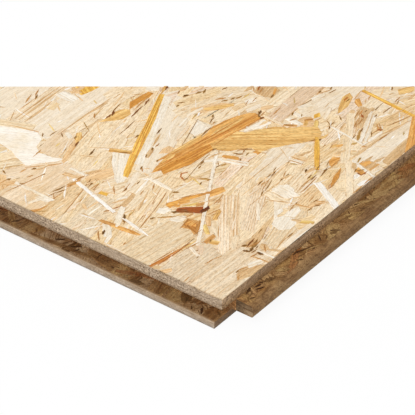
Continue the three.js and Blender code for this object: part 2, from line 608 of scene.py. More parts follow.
def strand_heights(rng, layers, with_corner):
    """Heights for each layer: larger strands low, small ones on them, no two alike.

    The scattered strands that lie under the listed ones are low and get quiet tones.
    """
    heights = []
    for strands, (*_, lowest, part) in zip(layers, FACE_LAYERS.values()):
        count = len(strands["turn"])
        share = lowest + part * rng.permutation(count) / count
        if with_corner:
            by_corner = (strands["place"] - (WEST, SOUTH) < CORNER_REACH).all(1)
            quiet = pick_tones(rng, int(by_corner.sum()), BED_TONES)
            strands["colour"][by_corner], strands["ring"][by_corner] = quiet
            share = np.where(by_corner, share * CORNER_BED, share)
        heights.append(LOWEST_STRAND + (HIGHEST_STRAND - LOWEST_STRAND) * share)
    return heights


# ---------------------------------------------------------------- strands laid one by one

# How the two ends of a listed strand are cut: widths left at its start and end as shares of
# its width, the share of its length over which it narrows, and the slant of its ends.
CUTS = {
    "sawn": (0.97, 0.96, 0.2, 0.1),
    "torn": (0.82, 0.74, 0.3, 0.25),
    "pointed": (0.35, 0.2, 0.4, 0.3),
    "lens": (0.2, 0.2, 0.5, 0.0),
    "splinter": (0.7, 0.4, 0.3, 0.6),
}

# The strands by the corner where the grooved end meets the tongued side: tone, start, end,
# width, cut and sometimes the spacing of the rings. Start and end are distances in mm from
# that corner, first along the tongued side and then along the grooved end.
BROAD_BY_CORNER = [
    # Far back.
    ("pale_beige", 52, 190, 102, 190, 20, "sawn", 2.2),
    ("plain_cream", 54, 174, 99, 175, 10, "sawn", 2.7),
    ("pale_beige", 52, 160, 118, 158, 22, "sawn", 3.4),
    ("plain_cream", 98, 150, 130, 143, 14, "torn", 2.0),
    ("beige", 42, 144.5, 66, 147, 13, "sawn", 3.0),
    ("plain_cream", 64, 146, 106, 145, 9, "torn", 1.8),
    ("cream", 36, 127, 100, 139, 13, "sawn", 2.4),
    ("plain_cream", 42, 119, 104, 131, 11, "sawn", 1.7),
    ("cream", 96, 128, 128, 139, 7, "torn", 1.9),
    # Left, by the grooved end.
    ("beige", 12, 151, 32, 139, 10, "torn", 2.0),
    ("peach", -4, 137, 15, 151, 7, "torn", 2.6),
    ("cream", 15, 161, 31, 149, 7, "torn", 2.4),
    ("beige", -8, 131, 42, 128, 25, "sawn", 3.4),
    ("oat", -6, 97, 34, 97, 17, "sawn", 3.0),
    ("honey", -8, 110.5, 35, 112, 12, "sawn", 3.2),
    ("cream", 2, 100.5, 36, 108.5, 6, "torn", 1.1),
    ("peach", 37, 114, 53, 107.5, 7, "torn", 2.2),
    ("plain_cream", 36, 104, 62, 92, 9, "torn", 1.7),
    ("oat", -6, 86, 22, 90, 10, "torn", 2.8),
    ("straw", -6, 73, 20, 80, 8, "sawn", 1.3),
    ("cream", -6, 64, 20, 69, 10, "sawn", 1.5),
    ("plain_cream", 18, 84, 68, 88, 11, "torn", 1.9),
    ("cream", 17, 70, 70, 81, 12, "sawn", 1.9),
    ("cream", 14, 64, 46, 67, 7, "torn", 1.6),
    # Middle.
    ("pale_beige", 60, 94, 124, 117, 14, "sawn", 2.1),
    ("near_white", 63, 101.6, 120, 126.8, 6, "sawn", 1.6),
    ("plain_cream", 70, 78, 100, 70, 10, "torn", 1.5),
    ("plain_cream", 54, 72, 74, 62, 10, "torn", 2.4),
    ("pinkish", 74, 58, 102, 61, 9, "torn", 1.4),
    ("plain_cream", 110, 112, 152, 104, 13, "torn", 2.6),
    ("straw", 116, 119, 142, 108, 8, "torn", 1.6),
    ("plain_cream", 134, 106, 160, 91, 8, "torn", 1.5),
    ("plain_cream", 114, 93, 138, 91, 9, "torn", 1.4),
    ("plain_cream", 135, 92, 154, 83, 9, "torn", 1.6),
    # Right, towards the tongued side.
    ("plain_cream", 140, 79, 176, 80, 8, "sawn", 2.8),
    ("pale_beige", 148, 60, 196, 55, 15, "torn", 3.0),
    ("rosy", 136, 70.5, 184, 72, 9.5, "sawn", 2.4),
    ("cream", 146, 49, 166, 46, 9, "torn", 1.7),
    ("pinkish", 160, 45, 204, 46, 9, "torn", 1.6),
    ("plain_cream", 160, 37, 200, 39, 8, "torn", 1.3),
    ("striped", 134, 36, 160, 39, 7, "torn", 1.2),
    ("straw", 112, 34, 150, 30, 9, "torn", 1.5),
    ("plain_cream", 184, 44, 206, 27, 11, "torn", 1.6),
    ("straw", 184, 27, 206, 17, 9, "torn", 1.7),
    ("plain_cream", 140, 23, 176, 32, 8, "torn", 1.5),
    ("straw", 157, 25.5, 190, 15, 12, "sawn", 1.9),
    ("pale_beige", 128, 11.5, 184, 9, 13, "sawn", 3.2),
    ("tan", 140, 2.9, 172, 4.1, 6.2, "torn", 1.8),
    ("plain_cream", 104, -2, 138, 8, 9, "torn", 1.5),
    ("straw", 100, 17, 134, 21, 8, "torn", 1.4),
    # Front, between the two edges.
    ("pale_beige", 78, 45.5, 128, 51, 14, "sawn", 2.2),
    ("cream", 70, 53, 110, 56, 7, "torn", 1.9),
    ("cream", 84, 35, 128, 41, 9, "torn", 1.4),
    ("plain_cream", 86, 27, 116, 30, 9, "torn", 1.4),
    ("wheat", 40, 5, 84, 13, 13, "torn", 1.9),
    ("honey", 82, 14, 108, 17, 10, "torn", 1.4),
    ("straw", 70, 7, 88, -4, 11, "torn", 2.0),
    ("plain_cream", 82, 3, 108, 8, 12, "torn", 1.6),
    ("cream", 40, 20.4, 94, 28.5, 9, "sawn", 1.2),
    ("plain_cream", 52, 27, 92, 48, 13, "sawn", 2.0),
    ("striped", 52, 24, 88, 42, 9, "torn", 1.3),
    ("striped", 29, 18.8, 71, 48.2, 10.5, "sawn", 1.75),
    ("dull_cream", -6, 31, 33, 29, 19, "torn", 2.6),
    ("wheat", -10, 57, 37, 51, 21, "sawn", 3.3),
    ("dull_cream", -8, 11, 52, 10, 23, "torn", 3.5),
    ("plain_cream", 44, 0, 92, 1, 7, "torn", 2.0),
]

# Strands of an uneven outline: tone, heading of the grain in degrees, spacing and strength of
# the rings, and then the outline's corners in mm from the panel's corner.
PATCHES_BY_CORNER = [
    # Far back.
    ("milky", -62, 3.0, 0.2, (35, 172), (33.4, 160), (31, 155), (28, 146), (34, 141.5), (40, 136),
     (44.8, 133.6), (42, 140), (40.8, 148), (44.4, 152.2), (51, 154), (54.6, 160), (51, 171),
     (48.6, 184), (40, 188)),
    ("straw", 0, 2.0, 0.4, (73, 169.5), (80, 170), (81, 166.5), (74.5, 165.5)),
    ("golden", 60, 2.0, 1.0, (93.6, 163), (96, 168.4), (99, 172), (106, 160), (100, 161),
     (96, 161.6)),
    ("peach", 60, 1.6, 0.9, (93, 166), (96, 171), (98.4, 170), (95.6, 163)),
    ("tan", 0, 1.6, 0.8, (82, 149.6), (90, 150), (100, 148), (90, 147.6)),
    ("peach", 14, 1.4, 1.0, (40, 131), (47, 133), (56, 136), (62, 139), (60, 141), (50, 137.6),
     (43, 135)),
    ("light_amber", 30, 1.2, 1.0, (56, 136.6), (61, 141), (66, 144), (68, 142), (64, 138)),
    ("tan", -3, 1.2, 0.8, (66, 143.6), (74, 142.8), (84, 141.6), (84, 140.4), (74, 141.4)),
    ("light_amber", -12, 2.0, 0.8, (80, 141), (86, 139.6), (92, 140), (97, 138), (99, 134.5),
     (96, 132), (90, 132), (86, 135)),
    ("deep_amber", -8, 1.5, 0.9, (98.6, 134.8), (104, 138.8), (110, 138.2), (117.6, 137.4),
     (118, 134.2), (113, 133.6), (108, 134.6), (103, 134.8)),
    # Left.
    ("peach", -50, 1.6, 0.8, (5, 147), (10, 149), (15, 142), (12, 140)),
    ("peach", -75, 1.6, 0.8, (33, 127), (36, 127), (38, 117.4), (35, 117.6)),
    ("golden", -70, 1.6, 0.5, (31.6, 102), (34, 102.4), (34.8, 98), (32.6, 97)),
    ("honey", 10, 1.6, 0.5, (32.6, 105.4), (33, 108), (37, 108.4), (38.4, 106)),
    ("near_white", 37, 1.6, 0.5, (44, 100), (46.4, 103.8), (52, 108.8), (59, 115.4), (65, 119.6),
     (70, 115.4), (68.4, 110.4), (60, 104), (52, 99.4), (47.6, 97.6)),
    ("toffee", -18, 1.4, 0.8, (-2, 120.6), (1, 119.6), (4, 117.6), (9.6, 116.2), (8, 115.5),
     (3.6, 115.7), (0, 117.4), (-2, 118)),
    # Middle.
    ("light_amber", -52, 2.6, 1.1, (96, 84), (98, 77), (100, 72), (105.6, 68.4), (109.4, 64.4),
     (109, 58.8), (115, 56.5), (122, 51.6), (131, 45.6), (137, 41.6), (143, 44.2), (145.8, 48.6),
     (143.8, 53.4), (137, 58.5), (132, 66.4), (126, 71), (119, 75), (117, 81), (104, 86)),
    ("toffee", -40, 1.4, 0.8, (133, 43.4), (136, 44.4), (139, 42.4), (138, 40.2), (135, 41.4)),
    ("amber", -50, 1.4, 0.6, (106.8, 58), (107.4, 62), (109.4, 61.6), (110, 57.6)),
    ("deep_amber", -9, 1.7, 1.1, (61, 92), (66, 89), (64, 86), (70, 84), (80, 80.5), (88, 79.5),
     (97, 79), (100, 82.5), (99, 86), (88, 88), (76, 90)),
    ("amber", -9, 1.5, 1.25, (61, 91.6), (68, 93.6), (78, 92.4), (90, 91.4), (103, 90.5),
     (113, 91.6), (121, 90), (128, 87.6), (134, 84), (136, 81.6), (134.5, 76.4), (126, 77.4),
     (118, 78.6), (108, 80.4), (98, 83.6), (86, 87.5), (74, 89.5)),
    ("light_amber", -7, 1.4, 1.3, (70, 96.5), (76, 96), (86, 94.5), (96, 93.2), (104, 91.6),
     (100, 89.5), (88, 91), (78, 92.6)),
    ("light_amber", -12, 1.4, 1.2, (104, 88), (112, 88.6), (122, 87), (131, 84.6), (126, 82.6),
     (112, 84)),
    ("deep_amber", -8, 1.2, 1.0, (110, 81), (120, 79.4), (135, 75.8), (135, 78.2), (122, 80.8)),
    ("golden", 23.5, 1.35, 0.6, (50.1, 101), (54, 104), (60, 107), (80, 115.4), (100, 123.4),
     (108, 126.8), (119, 131.5), (120.8, 129.2), (110, 123.9), (100, 118.9), (80, 110.3),
     (60, 102.2), (51.4, 98.4)),
    ("pale_beige", 20, 2.0, 0.3, (43, 94.6), (51, 97.6), (56, 98.4), (58, 98.2), (58.6, 95.4),
     (52, 93.4), (44, 91.6)),
    ("peach", 10, 1.2, 1.2, (77, 99), (82, 100), (86, 99), (86, 95.6), (81, 94.6)),
    ("near_white", 10, 2.0, 0.3, (100.4, 93.4), (101, 98), (107, 100.4), (113, 101.6), (113, 93),
     (106, 92)),
    ("near_white", -20, 2.0, 0.3, (118, 76.4), (122, 77.4), (134, 74.4), (134, 69), (128, 70.6)),
    ("peach", -35, 1.8, 1.0, (115, 108), (119, 110.6), (126, 106), (133, 100.6), (136.6, 95),
     (133.6, 93.6), (128, 98), (120, 102.6)),
    ("light_amber", -40, 1.4, 1.2, (121, 105), (124, 105.2), (130, 101), (136.4, 95.4), (134, 93.6),
     (128, 97.6), (122, 102)),
    ("amber", -60, 1.3, 1.1, (94.2, 70), (96.8, 69.8), (99.2, 66), (98.6, 63), (96.4, 63.6)),
    ("near_white", -50, 1.6, 0.5, (35.4, 60), (38, 61), (43, 57.4), (43.6, 54.6), (38.6, 53.8),
     (36, 56)),
    ("near_white", -50, 1.5, 0.5, (36.4, 69), (41, 70.6), (43.6, 67), (42.6, 64), (38, 65)),
    ("honey", -30, 1.5, 1.0, (44, 63), (45, 69), (52, 67), (60, 62.4), (64, 58.4), (62, 56.6),
     (54, 58)),
    ("deep_amber", -30, 1.3, 1.4, (43.8, 66), (44.6, 69.4), (46.4, 70), (50, 68), (56, 65.4),
     (60, 63), (65.4, 59.8), (64.4, 58), (60, 59.4), (56, 62), (51, 64.6), (47.6, 64.4)),
    ("amber", -35, 1.3, 1.0, (48.4, 63.6), (50.6, 66.6), (54, 66), (56.4, 62.6), (54, 60.6)),
    ("yellow", -35, 1.3, 0.8, (47.8, 62), (49.4, 62.8), (54, 59.4), (56.6, 57.6), (54.4, 56.6)),
    ("mahogany", -48, 1.4, 1.0, (42.4, 62.6), (44.4, 62.2), (46, 63.4), (48.6, 61.4), (51, 58.4),
     (53.4, 55.4), (57.4, 51.6), (54.4, 50), (50.2, 50.4), (48, 53), (45.6, 57), (43.6, 60)),
    ("russet", -48, 1.4, 0.8, (44.4, 61.6), (46, 62.4), (48, 59.4), (48.4, 57), (46.4, 58)),
    ("amber", -48, 1.4, 0.8, (45.6, 65.4), (47.6, 66.4), (49.6, 63.4), (47.6, 61.8), (46, 63)),
    # Right.
    ("tan", 10, 1.4, 1.0, (150, 93.5), (156, 95), (162, 88), (160, 83.6), (152, 82.6), (150, 86)),
    ("amber", 12, 1.2, 0.9, (153, 84), (160, 87.4), (160.4, 85), (155, 82.8)),
    ("peach", -45, 1.5, 1.0, (139.6, 55.6), (144, 60), (148, 60), (150.6, 56.4), (147, 51),
     (143, 50.6)),
    ("golden", 25, 1.4, 1.0, (149.6, 54.4), (153, 56.8), (156.4, 55.6), (153.6, 53)),
    ("light_amber", 16, 1.3, 0.9, (160, 47), (165, 50), (170, 52.6), (175, 54.6), (180, 53.6),
     (178, 49.6), (170, 47)),
    ("cinnamon", 16, 1.3, 0.8, (171, 50.6), (173, 52.6), (176.6, 52.4), (176.4, 50.8)),
    ("amber", 60, 1.4, 0.5, (177.4, 48.1), (179.4, 46.4), (174.8, 41.2), (172.1, 42.4),
     (174.2, 46.5)),
    ("toffee", 40, 1.4, 0.4, (166, 26.6), (165.1, 24.4), (163.6, 22.2), (161, 22.9), (163, 24.3)),
    # Front.
    ("amber", -15, 1.4, 1.2, (120.4, 22.2), (122, 24.6), (124.6, 27), (128.6, 27.2), (131, 23.6),
     (128.6, 22.6), (125, 21.8)),
    ("white", 10, 2.0, 0.2, (118.6, 7), (122, 9.4), (125, 9), (124, 6.4)),
    ("white", 0, 2.0, 0.2, (116, 1.4), (116.6, 3.4), (121, 3.2), (124, 1.4), (122, -1.6)),
    ("amber", 80, 1.3, 1.2, (123.8, 6.2), (125.4, 9.4), (125, 11), (129, 11.6), (129.6, 7),
     (127.6, 5.6)),
    ("tan", 4, 1.3, 1.0, (130, 4.6), (131, 12.8), (135.6, 12.8), (138, 9), (137.4, 4.6)),
    ("amber", -20, 1.3, 1.1, (131, 8.2), (131.8, 12.8), (135, 12.8), (137.4, 10.4), (136.8, 7.6)),
    ("toffee", -3, 1.3, 1.0, (130, 4.6), (130.4, 6.6), (134, 6), (138, 5.6), (137.8, 4.4)),
    ("olive", 14, 1.2, 0.8, (131.8, 13.4), (132.4, 14.8), (136.4, 15.8), (137, 14.8)),
    ("toffee", 4, 1.2, 0.8, (126, 13.6), (127.6, 15.8), (131, 15.4), (131, 13.4)),
    ("near_white", 12, 2.2, 0.3, (61.8, 12), (63.6, 17.6), (69, 19.6), (73, 17.4), (75, 11),
     (72, 8), (66, 7.6)),
    ("near_white", 12, 2.2, 0.3, (73, 17.4), (78, 17.6), (84, 16), (82, 12.6), (75, 11.4)),
    ("near_white", 40, 2.2, 0.3, (68, 19.6), (74, 24), (81.6, 29.6), (82, 24), (76, 19.4)),
    ("near_white", 25, 2.2, 0.3, (85.6, 34.6), (92.5, 34.2), (96, 31), (94.6, 25.8), (91.6, 23.6),
     (88, 24.4), (86.6, 30)),
    ("pale_beige", 25, 2.2, 0.3, (74.6, 24), (81, 27.4), (83.4, 21.8), (81, 19), (77, 21),
     (73.6, 22)),
    ("tan", 15, 1.3, 0.9, (43, 15), (50, 19.4), (60, 20.6), (72, 21.6), (60, 17.6), (50, 13.6)),
    ("tan", 10, 1.2, 1.0, (40.6, 17), (44, 19), (50, 18), (49, 14.6), (43, 12.6)),
    ("tan", -12, 1.5, 0.9, (16.6, 3.2), (20.4, 6.8), (25, 8.2), (28.8, 7), (31.6, 3.6), (36, 0.4),
     (34, -2), (27, -2), (22, 0.8)),
    ("tan", 60, 1.2, 0.8, (43.6, 6.6), (44.6, 11), (48, 12.6), (49.4, 9.6), (47, 6)),
    ("peach", -28, 1.3, 0.8, (86, 12.4), (91, 12.6), (96.4, 8), (94, 6.6), (88, 9.4)),
    ("toffee", 80, 1.4, 1.3, (34.2, 52.2), (38, 52.6), (42.6, 53.6), (44.8, 46), (40.4, 42.2),
     (33.4, 42.6), (36, 47)),
    ("amber", 70, 1.2, 1.2, (36.8, 51.8), (40, 52.4), (42, 51.6), (41.6, 47.4), (39, 45.6),
     (38, 48)),
    ("cinnamon", -6, 1.2, 0.8, (-2, 45.4), (5, 44.4), (12, 43), (20, 41.5), (28, 40.6), (20, 40.7),
     (13, 41.4), (10, 40.8), (7, 41), (3, 42.8), (-2, 44.2)),
]

# Narrow strands and slivers on top of those, in rows of the same kind as the broad ones.
WORKED_BY_CORNER = [
    ("cream", 47.5, 185, 56.5, 164, 6, "sawn", 2.6),
    ("near_white", 88.5, 173, 88, 162, 7, "torn", 2.0),
    ("peach", 92, 168.5, 101, 166.5, 2.4, "torn"),
    ("near_white", 118.6, 140, 123, 134, 4, "torn"),
    ("near_white", 60.3, 143, 63, 147.6, 3, "torn"),
    ("plain_cream", 68, 118.6, 78, 121, 4.4, "torn"),
    # Left.
    ("near_white", 11, 125, 11.6, 117, 3.2, "torn"),
    ("near_white", 13.6, 141, 13.2, 116, 2.3, "sawn"),
    ("near_white", 40, 127, 40, 116, 2.2, "sawn"),
    ("near_white", 32.6, 91, 38.6, 88.4, 2.6, "torn"),
    ("tan", 30, 85.6, 42, 87.2, 3.2, "torn"),
    ("peach", 17.6, 98.4, 20, 102.4, 1.8, "torn"),
    ("near_white", 6, 75.4, 13.8, 82.6, 4.6, "torn"),
    ("near_white", 1.4, 73.6, 8.6, 75.4, 2.2, "torn"),
    ("near_white", 43, 87, 57, 89.4, 2.0, "pointed"),
    ("near_white", 57.6, 90, 56.2, 74, 2.6, "splinter"),
    ("toffee", 14.8, 87.4, 15.6, 76, 2.6, "splinter"),
    ("amber", 15.2, 80, 17, 63.6, 2.8, "splinter"),
    ("near_white", 15, 77.4, 22, 79.6, 2.2, "torn"),
    ("light_amber", 64.4, 121, 69.6, 110, 3.2, "sawn"),
    # Middle.
    ("tan", 70.6, 101.8, 79, 104.2, 2.5, "torn"),
    ("tan", 80.6, 105.4, 91.4, 109, 1.5, "lens"),
    ("near_white", 111, 91.6, 112.4, 101.4, 2.4, "torn"),
    ("tan", 70.6, 74.6, 75.2, 64, 1.8, "splinter"),
    ("near_white", 85.6, 76.6, 92.6, 70, 3, "torn"),
    ("amber", 95.2, 71.8, 98.6, 64.6, 2.4, "torn"),
    ("near_white", 91.4, 69.6, 96.6, 56.4, 2.0, "sawn"),
    ("near_white", 94.2, 68.6, 98.4, 57.6, 1.2, "sawn"),
    # Right.
    ("plain_cream", 136, 76, 135.6, 60, 2, "torn"),
    ("pale_beige", 151, 61.4, 160, 59.2, 3, "torn"),
    ("pale_beige", 153, 50.2, 163, 53.4, 2.6, "torn"),
    ("near_white", 140, 91, 146, 88.4, 4, "torn"),
    ("near_white", 141.8, 65.4, 141.6, 56, 3.6, "torn"),
    ("near_white", 147.6, 65.4, 147.6, 59.6, 3, "torn"),
    ("near_white", 152.4, 66.4, 160, 62.8, 3.4, "torn"),
    ("near_white", 163, 65.4, 171.6, 62.8, 3.4, "torn"),
    ("honey", 131, 92.4, 139, 90.4, 4, "torn"),
    ("toffee", 145.4, 57.4, 149.2, 54.4, 2.2, "torn"),
    ("toffee", 135.4, 63.8, 139.6, 57.6, 2.2, "torn"),
    ("yellow", 144.6, 49.4, 149.6, 52.2, 2.4, "torn"),
    ("light_amber", 142, 54.4, 146.6, 56.4, 2.2, "torn"),
    ("peach", 140.6, 81.6, 146, 77.6, 3.2, "torn"),
    ("tan", 177, 48.2, 185, 49.8, 1.0, "lens"),
    ("peach", 165.4, 41.8, 168.4, 43, 2.6, "torn"),
    ("tan", 170.4, 35.4, 176.6, 35.6, 2.4, "torn"),
    ("light_amber", 196, 33.4, 204, 29, 5, "torn"),
    ("honey", 148, 35.6, 156, 38.6, 2.8, "torn"),
    ("tan", 157.4, 32.6, 174, 39.4, 6.4, "torn", 1.2),
    ("plain_cream", 127.4, 19, 166, 42, 4.8, "sawn", 1.6),
    ("near_white", 147.6, 23.4, 173.6, 34.6, 2.2, "torn", 1.5),
    ("near_white", 149.3, 21.8, 171, 31, 2.2, "torn", 1.4),
    ("near_white", 150.6, 20.4, 162, 19.6, 2.4, "torn", 1.5),
    ("near_white", 149.6, 43, 146.6, 21.4, 1.6, "sawn"),
    ("light_amber", 135, 32.8, 138.4, 31, 2.2, "torn"),
    ("amber", 137, 31, 140.4, 28.6, 1.8, "torn"),
    ("golden", 185.8, 49.6, 182.8, 12, 2.2, "sawn", 1.2),
    ("amber", 149.6, -5.5, 184, 13.2, 5.8, "sawn", 1.2),
    ("near_white", 126.6, -2, 132, 17.6, 2.0, "sawn"),
    # Front.
    ("golden", 114.6, 26.8, 137.6, 43.4, 2.9, "torn", 1.1),
    ("plain_cream", 102, -3, 131, 18.6, 4, "sawn", 1.5),
    ("near_white", 88.4, 22, 90, 33.6, 8, "torn", 1.6),
    ("plain_cream", 82, 21.4, 83.4, 36, 5, "torn", 1.8),
    ("near_white", 112.6, 43.6, 114.6, 35.6, 4, "torn", 1.3),
    ("honey", 117.4, 43.6, 118.6, 36, 3.4, "torn"),
    ("olive", 110.8, 40.6, 112.4, 37.4, 1.3, "lens"),
    ("amber", 106.6, 12.4, 123.4, 18, 2.8, "lens", 1.0),
    ("white", 93.4, -2.4, 106, 20, 4.0, "sawn", 1.4),
    ("yellow", 74, 7.4, 77.6, 1.6, 2.6, "torn"),
    ("tan", 73, 12, 74.6, 7, 1.8, "torn"),
    ("near_white", 29, 6.2, 37.4, 3, 4, "torn"),
    ("tan", 38.2, -2, 37, 8.4, 1.0, "torn"),
    ("tan", 50.4, -2, 46, 6.4, 1.5, "torn"),
    ("near_white", 42.6, -2, 42, 10.4, 1.2, "sawn"),
    ("amber", 65, 57.4, 73.4, 54, 4.8, "torn", 1.2),
    ("light_amber", 49.6, 42.6, 57.6, 45, 2.6, "torn"),
    ("toffee", 31.4, 34.4, 39.6, 34.4, 3.0, "torn"),
    ("light_amber", 33.6, 33.4, 35.6, 28.6, 3.4, "torn"),
    ("yellow", 38, 37.6, 43.4, 44, 2.6, "torn"),
    ("peach", 44, 41.6, 50, 46.4, 2.6, "torn"),
    ("toffee", 53.6, 57, 59.4, 53.4, 2.4, "torn"),
    ("toffee", 37.6, 43, 45, 46.6, 3.4, "torn"),
    ("near_white", 62, 24.4, 74, 33.6, 1.8, "sawn"),
    ("tan", 126.4, 12.6, 131, 15, 3, "torn"),
    ("near_white", 102, 105.4, 111, 107, 2.4, "torn"),
    ("pale_beige", 134, 86, 143, 83.4, 3, "torn"),
    ("pale_beige", 112, 107.6, 123, 105.6, 2.4, "torn"),
    ("near_white", 4, 124.8, 12, 121.4, 2.2, "torn"),
    ("pale_beige", 52, 1.6, 76, 1.4, 4.4, "torn"),
    ("plain_cream", 36, 20.6, 46, 25.6, 4, "torn"),
    ("rosy", 22.6, 31.4, 28.6, 35, 3.8, "torn"),
    ("near_white", 20.8, 30, 24.4, 38.2, 1.8, "sawn"),
    ("peach", -3, 38.6, 4.4, 34, 3, "torn"),
    ("near_white", 30.6, 85, 17.4, 79.4, 3.4, "torn", 1.3),
    ("white", 33.7, 119.6, 24.0, 85.4, 2.5, "sawn", 1.3),
    ("white", 23.0, 79.2, 18.9, 60.3, 2.0, "splinter", 1.3),
    ("near_white", 27.4, 35.7, 95.6, 75.9, 2.1, "sawn", 1.2),
    ("burnt", 50, 51.3, 56.4, 50.9, 2.6, "torn"),
]
